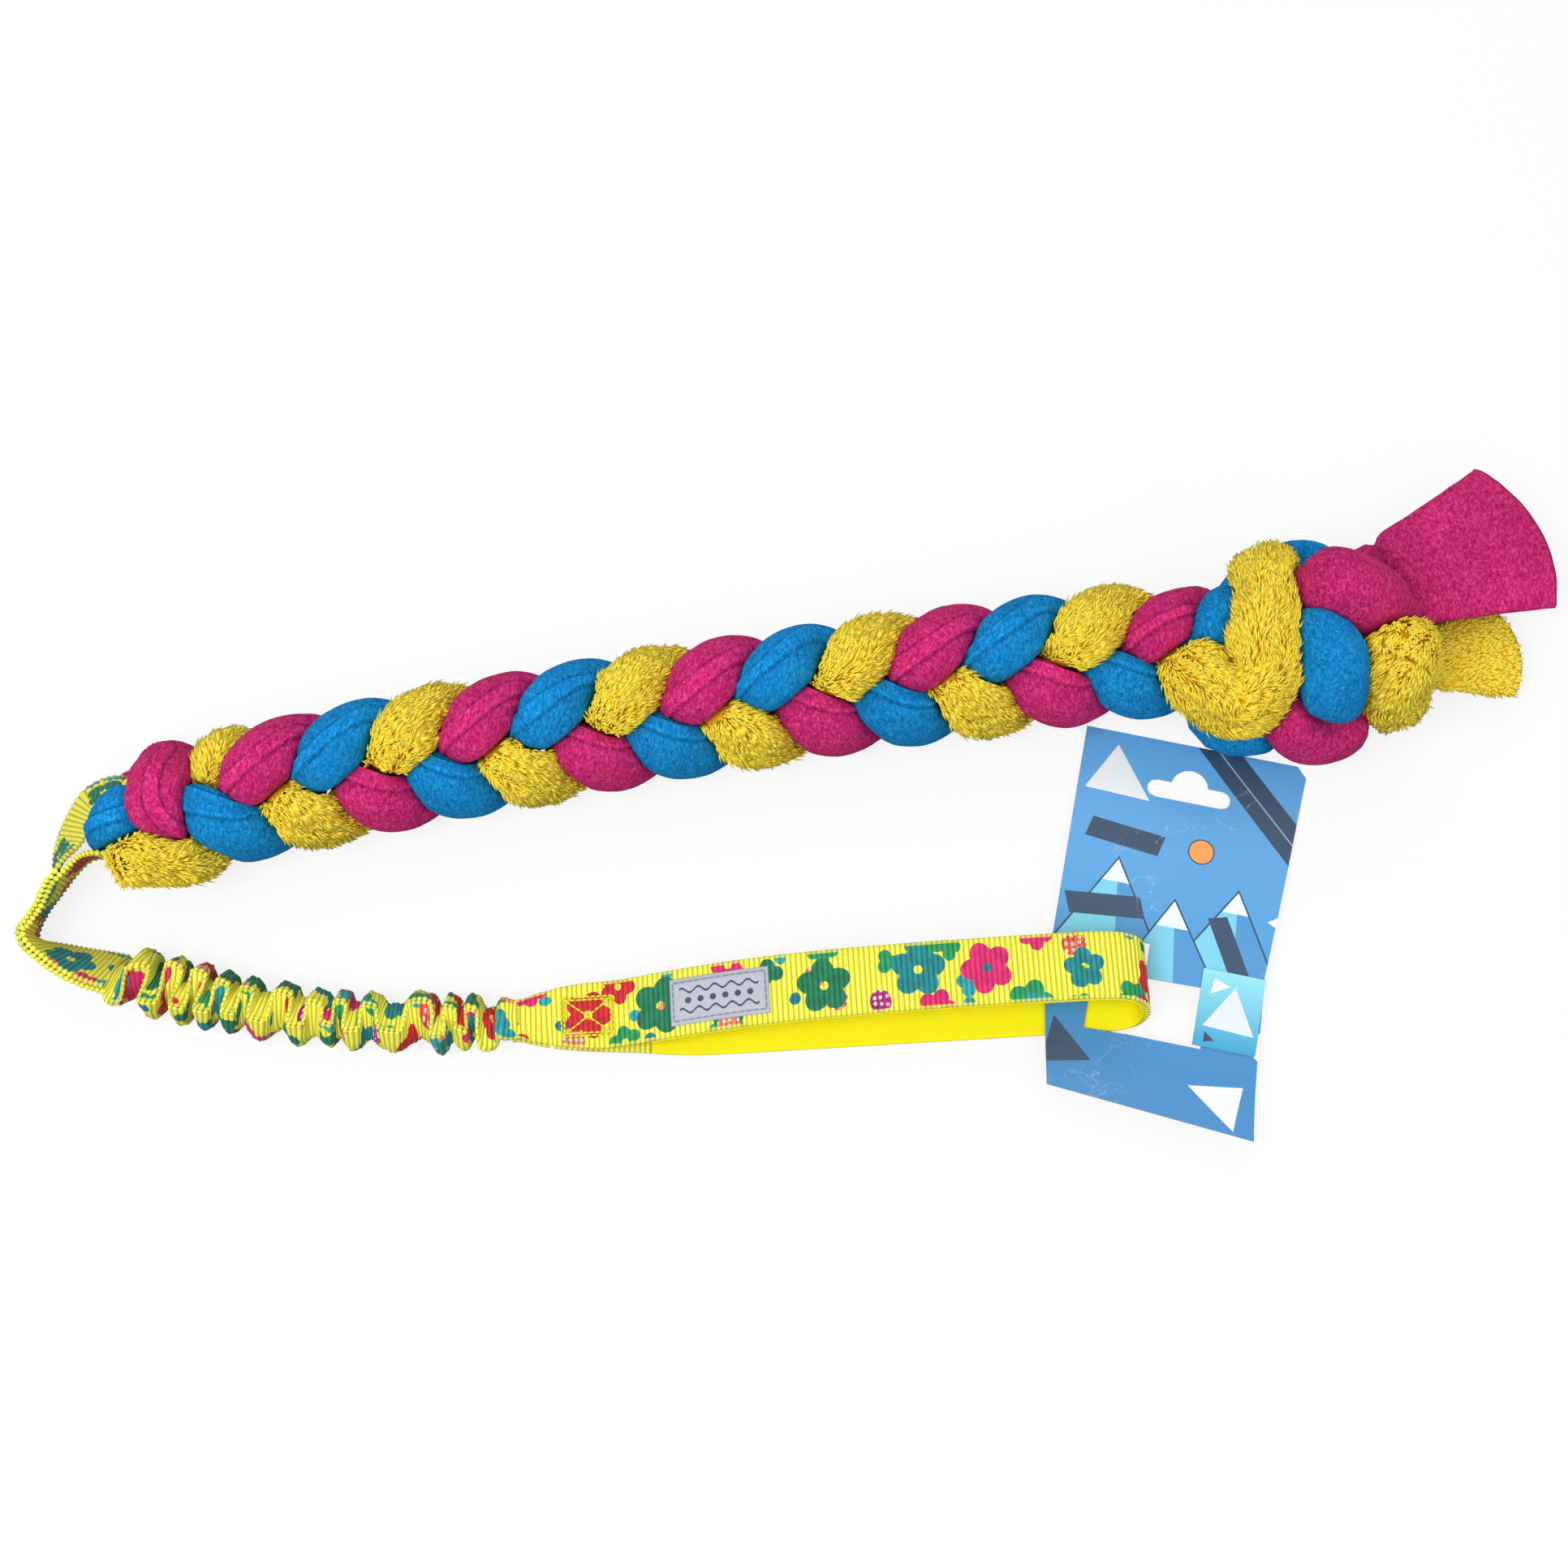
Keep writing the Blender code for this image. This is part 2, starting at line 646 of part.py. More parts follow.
def loop_obstacle():
    """Points all over the middle surface of the loop's web, which the strands keep clear of."""
    points = loop_points()
    widths = points[:, 4] * WEB_WIDTH
    route, across = leaning_web(points, widths)
    shares = np.linspace(-0.5, 0.5, OBSTACLE_POINTS)
    return np.concatenate([route + across * (widths * share)[:, None] for share in shares])


def skin_faces(ring_count, sides):
    """Corner numbers of the faces of a closed tube: its four-cornered skin and its two ends."""
    faces = []
    for ring in range(ring_count - 1):
        for side in range(sides):
            after = (side + 1) % sides
            here = ring * sides
            faces.append((here + side, here + after, here + sides + after, here + sides + side))
    faces.append(tuple(range(sides - 1, -1, -1)))
    faces.append(tuple(range((ring_count - 1) * sides, ring_count * sides)))
    return faces


def skin_tree(rings):
    corners = [tuple(point) for ring in rings for point in ring]
    return BVHTree.FromPolygons(corners, skin_faces(len(rings), len(rings[0])))


def reaches(tree, outward, point):
    """Whether a point is inside a solid, or nearer to it than the gap between strands."""
    place, normal, _, away = tree.find_nearest(point, CLEAR_DEPTH)
    if place is None:
        return False
    depth = sum((a - b) * c for a, b, c in zip(point, place, normal))
    return away < CLEAR_GAP or depth * outward < 0


def faces_outward(rings, tree):
    """One where the skin's normals point out of the tube, and minus one where they point in."""
    middle = len(rings) // 2
    centre = np.mean(rings[middle], axis=0)
    place, normal, _, _ = tree.find_nearest(tuple(centre))
    return -1 if np.dot(np.array(normal), centre - np.array(place)) > 0 else 1


def folded_over(centres, rings):
    """Corners that have crossed the plane of one of the next rings on a tight bend."""
    tangents = np.gradient(centres, axis=0)
    crossed = np.zeros(rings.shape[:2], bool)
    for step in range(1, BLOCK_RINGS):
        ahead = np.einsum("nsk,nk->ns", rings[:-step] - centres[step:, None], tangents[step:])
        crossed[:-step] |= ahead > 0
        behind = np.einsum("nsk,nk->ns", rings[step:] - centres[:-step, None], tangents[:-step])
        crossed[step:] |= behind < 0
    return set(np.flatnonzero(crossed.ravel()).tolist())


def near_blocks(centres):
    """For each ring, the other stretches of its own strand that pass close to it."""
    away = np.linalg.norm(centres[:, None] - centres[None], axis=2)
    numbers = np.arange(len(centres))
    blocks = []
    for ring in numbers:
        close = (away[ring] < 2 * KNOT_STRAND_RADIUS) & (np.abs(numbers - ring) >= BLOCK_RINGS)
        blocks.append(sorted({int(number) // BLOCK_RINGS for number in numbers[close]}))
    return blocks


def touches_itself(rings, outward, blocks):
    """Corners that reach into a stretch of their own strand further along."""
    starts = range(0, len(rings) - 1, BLOCK_RINGS)
    trees = [skin_tree(rings[start : start + BLOCK_RINGS + 1]) for start in starts]
    caught = set()
    sides = rings.shape[1]
    for number, ring in enumerate(rings):
        for block in blocks[number]:
            first = block * BLOCK_RINGS
            if block >= len(trees) or first - BLOCK_RINGS < number < first + 2 * BLOCK_RINGS:
                continue
            for side, point in enumerate(ring):
                if reaches(trees[block], outward, tuple(point)):
                    caught.add(number * sides + side)
    return caught


def pull_clear(centres, skins, wall):
    """Draws the skins in towards their centre lines, a little at a time, until they all stay apart."""
    wall_tree = skin_tree(wall)
    fixed = [(wall_tree, faces_outward(wall, wall_tree))]
    blocks = {name: near_blocks(line) for name, line in centres.items()}
    for _ in range(CLEAR_PASSES):
        trees = {name: skin_tree(rings) for name, rings in skins.items()}
        signs = {name: faces_outward(skins[name], trees[name]) for name in skins}
        changed = False
        for name, rings in skins.items():
            solids = fixed + [(trees[other], signs[other]) for other in skins if other != name]
            flat = rings.reshape(-1, 3)
            faces = skin_faces(*rings.shape[:2])[:-2]
            tests = [(index,) for index in range(len(flat))] + faces
            tests += [face[:2] for face in faces] + [face[1:3] for face in faces]
            caught = folded_over(centres[name], rings) | touches_itself(rings, signs[name], blocks[name])
            for corners in tests:
                point = tuple(flat[list(corners)].mean(axis=0))
                if any(reaches(tree, sign, point) for tree, sign in solids):
                    caught.update(corners)
            if caught:
                changed = True
                owners = np.repeat(centres[name], len(rings[0]), axis=0)
                chosen = sorted(caught)
                flat[chosen] += (owners[chosen] - flat[chosen]) * CLEAR_PULL_SHARE
        if not changed:
            break
    return skins


def make_plait():
    pink_tail = tail_points(PINK_TAIL_START, PINK_TAIL_HEADING, PINK_TAIL_LENGTH, PINK_TAIL_DROP)
    blue_tail = tail_points(BLUE_TAIL_START, BLUE_TAIL_HEADING, BLUE_TAIL_LENGTH, BLUE_TAIL_DROP)
    yellow_tail = tail_points(YELLOW_TAIL_START, YELLOW_TAIL_HEADING, YELLOW_TAIL_LENGTH, YELLOW_TAIL_DROP)
    plans = {
        "pink_fleece_strand": (
            strand_route(PINK_FOLD, PINK_STRAND_TURN_SHARE, PINK_JOIN_SHARE, KNOT_PINK_SHARES, pink_tail),
            (PINK_TAIL_NECK_WIDTH, PINK_TAIL_END_WIDTH, PINK_TAIL_THICKNESS),
        ),
        "blue_fleece_strand": (
            strand_route(BLUE_FOLD, BLUE_STRAND_TURN_SHARE, BLUE_JOIN_SHARE, KNOT_BLUE_SHARES, blue_tail),
            (BLUE_TAIL_NECK_WIDTH, BLUE_TAIL_END_WIDTH, BLUE_TAIL_THICKNESS),
        ),
        "yellow_fur_strand": (
            strand_route(YELLOW_FOLD, YELLOW_STRAND_TURN_SHARE, YELLOW_JOIN_SHARE, KNOT_YELLOW_SHARES, yellow_tail),
            (YELLOW_TAIL_NECK_WIDTH, YELLOW_TAIL_END_WIDTH, YELLOW_TAIL_THICKNESS),
        ),
    }
    walls = loop_obstacle()
    centres = {name: plan[0][0] for name, plan in plans.items()}
    skins = {}
    for name, ((route, flat_from), sizes) in plans.items():
        others = np.concatenate([centres[other] for other in plans if other != name])
        widths, heights = tail_sizes(route, flat_from, *sizes)
        skins[name] = np.array(strand_rings(route, widths, heights, flat_from, others, walls))
    for name, rings in pull_clear(centres, skins, loop_rings()).items():
        closed_loft(name, rings, True, material(name.replace("_strand", "")))


def loop_rings():
    points = loop_points()
    widths = points[:, 4] * WEB_WIDTH
    route, across = leaning_web(points, widths)
    return web_rings(route, across, widths, WEB_THICKNESS)


def make_strap(web):
    """Two layers of the neck, and two of the turn past the place where the strap swings."""
    points, turn = strap_points()
    route, across = leaning_web(points, np.full(len(points), WEB_WIDTH))
    spread = points[:, 2] / sleeve_middle_height()
    offsets = layer_offset() + (elastic_offset() - layer_offset()) * spread
    for layer, side in (("outer", 1), ("inner", -1)):
        rings = np.array(web_rings(route, across, WEB_WIDTH, WEB_THICKNESS, side * offsets))
        near = rings[turn] + (rings[turn - 1] - rings[turn]) * HINGE_GAP / STRAP_STEP
        closed_loft(f"neck_{layer}_web", (*rings[:turn], near), False, web)
        closed_loft(f"turn_{layer}_web", rings[turn:], False, web)


def make_loop_bartack(thread):
    """The row of thread across the neck that closes the loop."""
    points = strap_points()[0]
    route, across = leaning_web(points, np.full(len(points), WEB_WIDTH))
    away = layer_offset() + (WEB_THICKNESS + BARTACK_THICKNESS) / 2 + END_GAP
    rings = web_rings(route, across, BARTACK_WIDTH, BARTACK_THICKNESS, away)
    last = BARTACK_FROM_STEPS + BARTACK_STEPS
    closed_loft("loop_bartack", rings[BARTACK_FROM_STEPS:last], False, thread)


def sleeve_points():
    """Points along the sleeve's middle, enough for its waves, and their sideways direction."""
    count = SLEEVE_WAVES * SLEEVE_WAVE_STEPS + 1
    coarse = smooth_route(SLEEVE_ROUTE, WEB_STEP, placed=2)
    old = np.linspace(0, 1, len(coarse))
    new = np.linspace(0, 1, count)
    plan = np.stack([np.interp(new, old, column) for column in coarse.T], axis=1)
    run = np.gradient(plan, axis=0)
    run /= np.linalg.norm(run, axis=1)[:, None]
    side = np.stack((run[:, 1], -run[:, 0]), axis=1)
    return plan, side


def make_sleeve(web, elastic):
    plan, side = sleeve_points()
    count = len(plan)
    wave = 2 * math.pi * SLEEVE_WAVES * np.arange(count) / (count - 1)
    middle = sleeve_middle_height()
    swell = SLEEVE_WAVE_HEIGHT * (1 - np.cos(wave)) / 2
    sway = side * (SLEEVE_EDGE_SWAY * np.sin(wave))[:, None]
    ends = (np.linspace(0, 1, count) - 1 + SLEEVE_TAPER_SHARE) / SLEEVE_TAPER_SHARE
    widths = SLEEVE_WIDTH + (SLEEVE_END_WIDTH - SLEEVE_WIDTH) * np.clip(ends, 0, 1)
    across = np.column_stack((side, np.zeros(count)))
    for name, lift in (("sleeve_upper_web", 1), ("sleeve_lower_web", -1)):
        height = middle + lift * (elastic_offset() + swell)
        route = np.column_stack((plan + lift * sway, height))
        closed_loft(name, web_rings(route, across, widths, WEB_THICKNESS), False, web)
    inset = SLEEVE_WAVE_STEPS // 2
    inner = slice(inset, -inset, inset)
    route = np.column_stack((plan, np.full(count, middle)))[inner]
    rings = web_rings(route, across[inner], ELASTIC_WIDTH, ELASTIC_THICKNESS)
    closed_loft("bungee_elastic", rings, False, elastic)


def handle_points():
    """The hand loop's web middle: out along the top, round the end and back along the floor."""
    top = sleeve_middle_height() + layer_offset()
    back = sleeve_middle_height() - layer_offset()
    throat = [(distance, top) for distance in THROAT_TOP_DISTANCES]
    end = [(distance, back) for distance in THROAT_BACK_DISTANCES]
    points = smooth_route((*throat, *HANDLE_TOP_ROUTE, *HANDLE_LOW_ROUTE, *end), HANDLE_STEP, placed=2)
    points[:, 1] = np.maximum(points[:, 1], WEB_THICKNESS / 2)
    return points


def handle_place(points):
    """World points and edge directions of the hand loop from distances and heights."""
    run = np.array((math.cos(HANDLE_HEADING), math.sin(HANDLE_HEADING)))
    side = np.array((-run[1], run[0]))
    lean = (points[:, 1] - sleeve_middle_height()) * HANDLE_LEAN_SHARE
    plan = np.array(HANDLE_START) + np.outer(points[:, 0], run) + np.outer(lean, side)
    across = np.tile((*side, 0), (len(points), 1))
    return np.column_stack((plan, points[:, 1])), across


def throat_width(distances):
    """The web's width near the sleeve, where it is gathered in."""
    ease = np.clip(distances / THROAT_TAPER, 0, 1)
    return WEB_WIDTH * (THROAT_WIDTH_SHARE + (1 - THROAT_WIDTH_SHARE) * ease * (2 - ease))


def between_distances(points, first, last, count):
    """Points of the hand loop's upper run between two distances."""
    farthest = int(np.argmax(points[:, 0]))
    places = np.linspace(first, last, count)
    heights = np.interp(places, points[:farthest, 0], points[:farthest, 1])
    return np.column_stack((places, heights))


def make_handle(web, lining, label):
    points = handle_points()
    route, across = handle_place(points)
    widths = throat_width(points[:, 0])
    closed_loft("handle_web", web_rings(route, across, widths, WEB_THICKNESS), False, web)
    lined = np.flatnonzero(points[:, 0] > LINING_FROM)
    inward = -(WEB_THICKNESS + LINING_THICKNESS) / 2 - LAYER_GAP
    rings = web_rings(route, across, LINING_WIDTH, LINING_THICKNESS, inward)
    closed_loft("handle_lining", rings[lined[0] : lined[-1] + 1], False, lining)
    labelled = between_distances(points, LABEL_FROM, LABEL_FROM + LABEL_LENGTH, LABEL_RINGS)
    route, across = handle_place(labelled)
    outward = (WEB_THICKNESS + LABEL_THICKNESS) / 2 + END_GAP
    closed_loft("label", web_rings(route, across, LABEL_WIDTH, LABEL_THICKNESS, outward), False, label)
    back = sleeve_middle_height() - layer_offset()
    start = THROAT_TOP_DISTANCES[0]
    under = smooth_route(((start, back), (start + THROAT_WEB_LENGTH, back)), WEB_STEP, placed=2)
    route, across = handle_place(under)
    rings = web_rings(route, across, throat_width(under[:, 0]), WEB_THICKNESS)
    closed_loft("throat_web", rings, False, web)


def plate_with_holes(outline, holes):
    """A flat bmesh sheet at z = 0 inside the outline and outside the holes."""
    shape = bmesh.new()
    for points in (outline, *holes):
        corners = [shape.verts.new((x, y, 0)) for x, y in points]
        for corner, following in zip(corners, corners[1:] + corners[:1]):
            shape.edges.new((corner, following))
    bmesh.ops.triangle_fill(shape, use_beauty=True, edges=shape.edges[:])
    return shape


def thicken(shape, thickness):
    """Gives a sheet a thickness upwards, and so closes it."""
    made = bmesh.ops.extrude_face_region(shape, geom=shape.faces[:])
    risen = [item for item in made["geom"] if isinstance(item, bmesh.types.BMVert)]
    bmesh.ops.translate(shape, verts=risen, vec=(0, 0, thickness))


def make_box_stitching(thread):
    """The stitched rectangle with its cross, lying on the throat."""
    half_x = STITCH_LENGTH / 2
    half_y = STITCH_WIDTH / 2
    outline = ((-half_x, -half_y), (half_x, -half_y), (half_x, half_y), (-half_x, half_y))
    inner_x = half_x - STITCH_THREAD
    inner_y = half_y - STITCH_THREAD
    ends = STITCH_THREAD * STITCH_CORNER_SHARE
    above = ((-inner_x + ends, inner_y), (0, STITCH_THREAD / 2), (inner_x - ends, inner_y))
    right = ((inner_x, inner_y - ends), (STITCH_THREAD, 0), (inner_x, -inner_y + ends))
    below = [(x, -y) for x, y in reversed(above)]
    left = [(-x, y) for x, y in reversed(right)]
    shape = plate_with_holes(outline, (above, right, below, left))
    thicken(shape, STITCH_THICKNESS)
    made = add_object("box_stitching", shape, False, thread)
    distance = STITCH_FROM + half_x
    height = sleeve_middle_height() + layer_offset()
    place = handle_place(np.array(((distance, height),) * 2))[0][0]
    made.location = (place[0], place[1], height + WEB_THICKNESS / 2 + END_GAP)
    made.rotation_euler = (0, 0, HANDLE_HEADING)


def card_seat_height():
    """The card's underside where it lies on the hand loop's lower lining."""
    return WEB_THICKNESS + LAYER_GAP + LINING_THICKNESS + END_GAP


def card_lift(down):
    """Height of the card's underside at a distance down from its top edge."""
    share = down / CARD_HEIGHT
    seat = card_seat_height()
    if share < CARD_RISE_SHARE:
        ease = share / CARD_RISE_SHARE
        return CARD_FLOOR_GAP + (seat - CARD_FLOOR_GAP) * ease**2 * (3 - 2 * ease)
    if share < CARD_TAIL_SHARE:
        return seat
    return seat + CARD_TAIL_LIFT * ((share - CARD_TAIL_SHARE) / (1 - CARD_TAIL_SHARE)) ** 2


def hang_hole():
    """A wide slot with round ends and a round bump in the middle, in card distances."""
    place_x = HANG_HOLE_PLACE_SHARES[0] * CARD_WIDTH
    place_y = HANG_HOLE_PLACE_SHARES[1] * CARD_HEIGHT
    radius = HANG_HOLE_HEIGHT / 2
    reach = HANG_HOLE_LENGTH / 2 - radius
    low = math.asin((radius - HANG_HOLE_BUMP_LIFT) / HANG_HOLE_BUMP_RADIUS)
    points = []
    for angle in np.linspace(-math.pi / 2, math.pi / 2, HANG_HOLE_ARC_POINTS):
        points.append((reach + radius * math.cos(angle), radius * math.sin(angle)))
    for angle in np.linspace(low, math.pi - low, 2 * HANG_HOLE_ARC_POINTS):
        x = HANG_HOLE_BUMP_RADIUS * math.cos(angle)
        points.append((x, HANG_HOLE_BUMP_LIFT + HANG_HOLE_BUMP_RADIUS * math.sin(angle)))
    for angle in np.linspace(math.pi / 2, 3 * math.pi / 2, HANG_HOLE_ARC_POINTS):
        points.append((-reach + radius * math.cos(angle), radius * math.sin(angle)))
    return [(place_x + x, y - place_y) for x, y in points]


def card_points(shares):
    return [(x * CARD_WIDTH, -y * CARD_HEIGHT) for x, y in shares]


def make_card(board, paper):
    """The hang card and its sticker, flat at the top and lifted where the hand loop passes under it."""
    shape = plate_with_holes(card_points(CARD_OUTLINE_SHARES), (card_points(CARD_WINDOW_SHARES), hang_hole()))
    for share in CARD_BEND_SHARES:
        everything = shape.verts[:] + shape.edges[:] + shape.faces[:]
        place = (0, -share * CARD_HEIGHT, 0)
        bmesh.ops.bisect_plane(shape, geom=everything, plane_co=place, plane_no=(0, 1, 0))
    thicken(shape, CARD_THICKNESS)
    for corner in shape.verts:
        corner.co.z += card_lift(-corner.co.y)
    card = add_object("header_card", shape, False, board)
    left, top = (share * size for share, size in zip(STICKER_CORNER_SHARES, (CARD_WIDTH, CARD_HEIGHT)))
    corners = (
        (left, -top),
        (left + STICKER_WIDTH, -top),
        (left + STICKER_WIDTH, -top - STICKER_HEIGHT),
        (left, -top - STICKER_HEIGHT),
    )
    shape = plate_with_holes(corners, ())
    thicken(shape, STICKER_THICKNESS)
    for corner in shape.verts:
        corner.co.z += card_seat_height() + CARD_THICKNESS + END_GAP
    sticker = add_object("card_sticker", shape, False, paper)
    for piece in (card, sticker):
        piece.location = (*CARD_CORNER, 0)
        piece.rotation_euler = (0, 0, CARD_HEADING)


def lay_on_floor():
    """Cuts each flat-based piece level with the floor."""
    for piece in bpy.data.objects:
        for corner in piece.data.vertices:
            corner.co.z = max(corner.co.z, 0)


def place_origin():
    """Moves everything so that the origin lies under the middle of the part's box."""
    bpy.context.view_layer.update()
    corners = [piece.matrix_world @ corner.co for piece in bpy.data.objects for corner in piece.data.vertices]
    middle_x = (min(c.x for c in corners) + max(c.x for c in corners)) / 2
    middle_y = (min(c.y for c in corners) + max(c.y for c in corners)) / 2
    for piece in bpy.data.objects:
        piece.location.x -= middle_x
        piece.location.y -= middle_y
    print("Origin moved to", round(middle_x, 5), round(middle_y, 5))


def build():
    start_empty_file()
    make_plait()
    web = material("printed_web")
    thread = material("thread")
    closed_loft("tug_loop_web", loop_rings(), False, web)
    make_strap(web)
    make_loop_bartack(thread)
    make_sleeve(web, material("elastic"))
    make_handle(web, material("lining"), material("label"))
    make_box_stitching(thread)
    make_card(material("card"), material("sticker"))
    lay_on_floor()
    place_origin()


build()
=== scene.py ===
"""Bungee tug toy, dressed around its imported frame. All places are in metres in the frame's own axes."""

import math

import bpy
import numpy as np
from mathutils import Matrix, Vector
from mathutils.bvhtree import BVHTree


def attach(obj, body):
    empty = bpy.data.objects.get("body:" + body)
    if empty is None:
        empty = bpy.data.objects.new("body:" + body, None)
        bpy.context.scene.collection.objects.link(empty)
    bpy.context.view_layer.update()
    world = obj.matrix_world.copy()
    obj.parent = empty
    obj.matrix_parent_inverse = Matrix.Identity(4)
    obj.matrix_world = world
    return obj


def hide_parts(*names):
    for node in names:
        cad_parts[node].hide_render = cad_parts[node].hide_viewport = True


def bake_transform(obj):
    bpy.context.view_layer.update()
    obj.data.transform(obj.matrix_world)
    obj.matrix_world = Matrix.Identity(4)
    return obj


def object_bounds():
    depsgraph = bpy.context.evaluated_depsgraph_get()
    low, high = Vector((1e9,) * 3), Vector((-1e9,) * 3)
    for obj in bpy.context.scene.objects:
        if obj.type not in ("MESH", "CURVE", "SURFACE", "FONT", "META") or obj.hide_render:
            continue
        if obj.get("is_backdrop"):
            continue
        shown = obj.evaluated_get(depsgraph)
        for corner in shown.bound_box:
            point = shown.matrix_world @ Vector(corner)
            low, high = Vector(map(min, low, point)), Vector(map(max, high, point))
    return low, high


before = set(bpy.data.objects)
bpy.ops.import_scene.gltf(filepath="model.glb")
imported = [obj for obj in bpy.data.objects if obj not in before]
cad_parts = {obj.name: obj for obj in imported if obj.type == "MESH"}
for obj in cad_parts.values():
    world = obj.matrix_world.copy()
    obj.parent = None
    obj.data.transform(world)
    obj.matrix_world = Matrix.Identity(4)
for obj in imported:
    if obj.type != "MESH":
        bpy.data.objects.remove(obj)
cad_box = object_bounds()
bpy.ops.object.select_all(action="DESELECT")

# The camera stands where the photograph was taken from: well above the toy, looking down at 75 degrees.
CAMERA_TARGET = Vector((-0.00843, 0.00093, 0.015))
CAMERA_DISTANCE = 0.813
CAMERA_ELEVATION = math.radians(75)

away = Vector((0, -math.cos(CAMERA_ELEVATION), math.sin(CAMERA_ELEVATION)))
bpy.ops.object.camera_add(location=CAMERA_TARGET + away * CAMERA_DISTANCE)
camera = bpy.context.object
camera.name = "photo_camera"
camera.data.lens = 50
camera.data.sensor_width = 36
camera.rotation_euler = away.to_track_quat("Z", "Y").to_euler()
bpy.context.scene.camera = camera

# The studio: a white floor and sky that the camera sees as paper white, and broad soft lamps.
SKY_LEVEL = 0.50
FLOOR_GLOW_SHARE = 0.80
FLOOR_DEPTH = 0.0002
LAMPS = (
    ("key_lamp", (-0.55, -0.35, 1.15), 0.7, 10.5),
    ("fill_lamp", (0.75, -0.55, 0.95), 1.0, 3.6),
    ("back_lamp", (0.15, 0.95, 0.85), 0.9, 3.8),
)


def linear(hex_colour):
    """An sRGB hex colour as a linear colour with full alpha."""
    parts = [int(hex_colour[i : i + 2], 16) / 255 for i in (1, 3, 5)]
    return (*[c / 12.92 if c <= 0.04045 else ((c + 0.055) / 1.055) ** 2.4 for c in parts], 1)


def add_node(tree, kind, links=None, **settings):
    """Adds a node with its settings, and fills its sockets with values, nodes or their outputs."""
    made = tree.nodes.new("ShaderNode" + kind)
    for key, value in settings.items():
        setattr(made, key, value)
    for key, value in (links or {}).items():
        given = value.outputs[0] if isinstance(value, bpy.types.Node) else value
        if isinstance(given, bpy.types.NodeSocket):
            tree.links.new(given, made.inputs[key])
        else:
            made.inputs[key].default_value = given
    return made


for lamp_name, place, size, power in LAMPS:
    bpy.ops.object.light_add(type="AREA", location=place)
    lamp = bpy.context.object
    lamp.name = lamp_name
    lamp.data.size = size
    lamp.data.energy = power
    lamp.rotation_euler = Vector(place).to_track_quat("Z", "Y").to_euler()

sky = bpy.data.worlds.new("white_sky")
bpy.context.scene.world = sky
sky.use_nodes = True
sky_tree = sky.node_tree
sky_tree.nodes.clear()
path = add_node(sky_tree, "LightPath")
seen = add_node(
    sky_tree, "Math", {0: path.outputs["Is Camera Ray"], 1: path.outputs["Is Glossy Ray"]}, operation="ADD"
)
seen = add_node(
    sky_tree, "Math", {0: seen, 1: path.outputs["Is Transmission Ray"]}, operation="ADD", use_clamp=True
)
level = add_node(sky_tree, "MapRange", {"Value": seen, "To Min": SKY_LEVEL, "To Max": 1.0})
backing = add_node(sky_tree, "Background", {"Color": linear("#FFFFFF"), "Strength": level})
add_node(sky_tree, "OutputWorld", {"Surface": backing})
bpy.context.scene.view_settings.view_transform = "Standard"

bpy.ops.mesh.primitive_plane_add(size=6, location=(0, 0, -FLOOR_DEPTH))
floor = bpy.context.object
floor.name = "studio_floor"
floor_paint = bpy.data.materials.new("white_studio_paper")
floor_paint.use_nodes = True
tree = floor_paint.node_tree
tree.nodes.clear()
path = add_node(tree, "LightPath")
paper = add_node(tree, "BsdfDiffuse", {"Color": linear("#F2F2F2")})
glow = add_node(tree, "Emission", {"Color": linear("#FFFFFF"), "Strength": path.outputs["Is Camera Ray"]})
share = add_node(tree, "MixShader", {0: FLOOR_GLOW_SHARE, 1: paper, 2: glow})
add_node(tree, "OutputMaterial", {"Surface": share})
floor.data.materials.append(floor_paint)
floor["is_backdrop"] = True

# The plait's three fat strands: two sewn tubes of brushed fleece and one of long-pile fur, stuffed by their own
# cloth. They fold round the webbing loop, weave through each other, are tied in one knot and end in flaps.
ORIGIN_SHIFT = np.array((-0.00453, -0.00657, 0))
PLAIT_START = np.array((-0.2316, -0.0048))
PLAIT_END = np.array((0.1540, 0.0594))
PLAIT_BOW = 0.0065
PLAIT_SWAY = 0.0115
PLAIT_RISE = 0.0075
PLAIT_ROLL = math.radians(28)
PLAIT_TURNS = 4.66
PLAIT_EASE = 0.069
PLAIT_PHASE = 0.345
PLAIT_HEIGHT = 0.0224
WEAVE_END_SHARE = 0.955
WEAVE_POINTS = 75
FOLD_PLACE = np.array((-0.2370, -0.0110, 0))
KNOT_CENTRE = np.array((0.1930, 0.0580, 0.0270))
KNOT_HALF = np.array((0.0365, 0.0358, 0.0270))
STRAND_COLUMNS = 128
STRAND_ROW = 0.0016
TAIL_TURN = 0.052
TAIL_EASE = 0.018
TAIL_BULGE_SHARE = 0.14
TAIL_CORNER_SHARE = 0.75
TAIL_SIDE_ROUNDING = 0.75
TAIL_FACE_ROUNDING = 0.55
TAIL_CROWN = 0.25
RAY_LENGTH = 0.08
MOST_REACH = 0.021
SKIN_EASE = 1.01
SWELL = 0.0011
SWELL_ROUNDS = 2
SWELL_SHARE = 0.6
CONTACT_GAP = 0.0001
SKIN_FLOOR = 0.0003
FLEECE_FLOOR = 0.0002
SEAM_HALF_SPACING = 0.0023
SEAM_RIDGE_WIDTH = 0.00062
SEAM_RIDGE_HEIGHT = 0.0008
SEAM_BAND_HEIGHT = 0.0005
SEAM_BAND_EASE = 0.001
SEAM_GROOVE_OFFSET = 0.0011
SEAM_GROOVE_WIDTH = 0.0005
SEAM_GROOVE_SHARE = 0.8
# Painted light on the fleece seam: painted highlight on its ridges and band, painted shade in its grooves.
SEAM_PAINTED_LIGHT = (0.22, 0.07, 0.34)
SEAM_DRIFT = 0.30
SEAM_SPREAD = 0.65
SEAM_PAST_PLAIT = 0.006
SEAM_FADE = 0.010
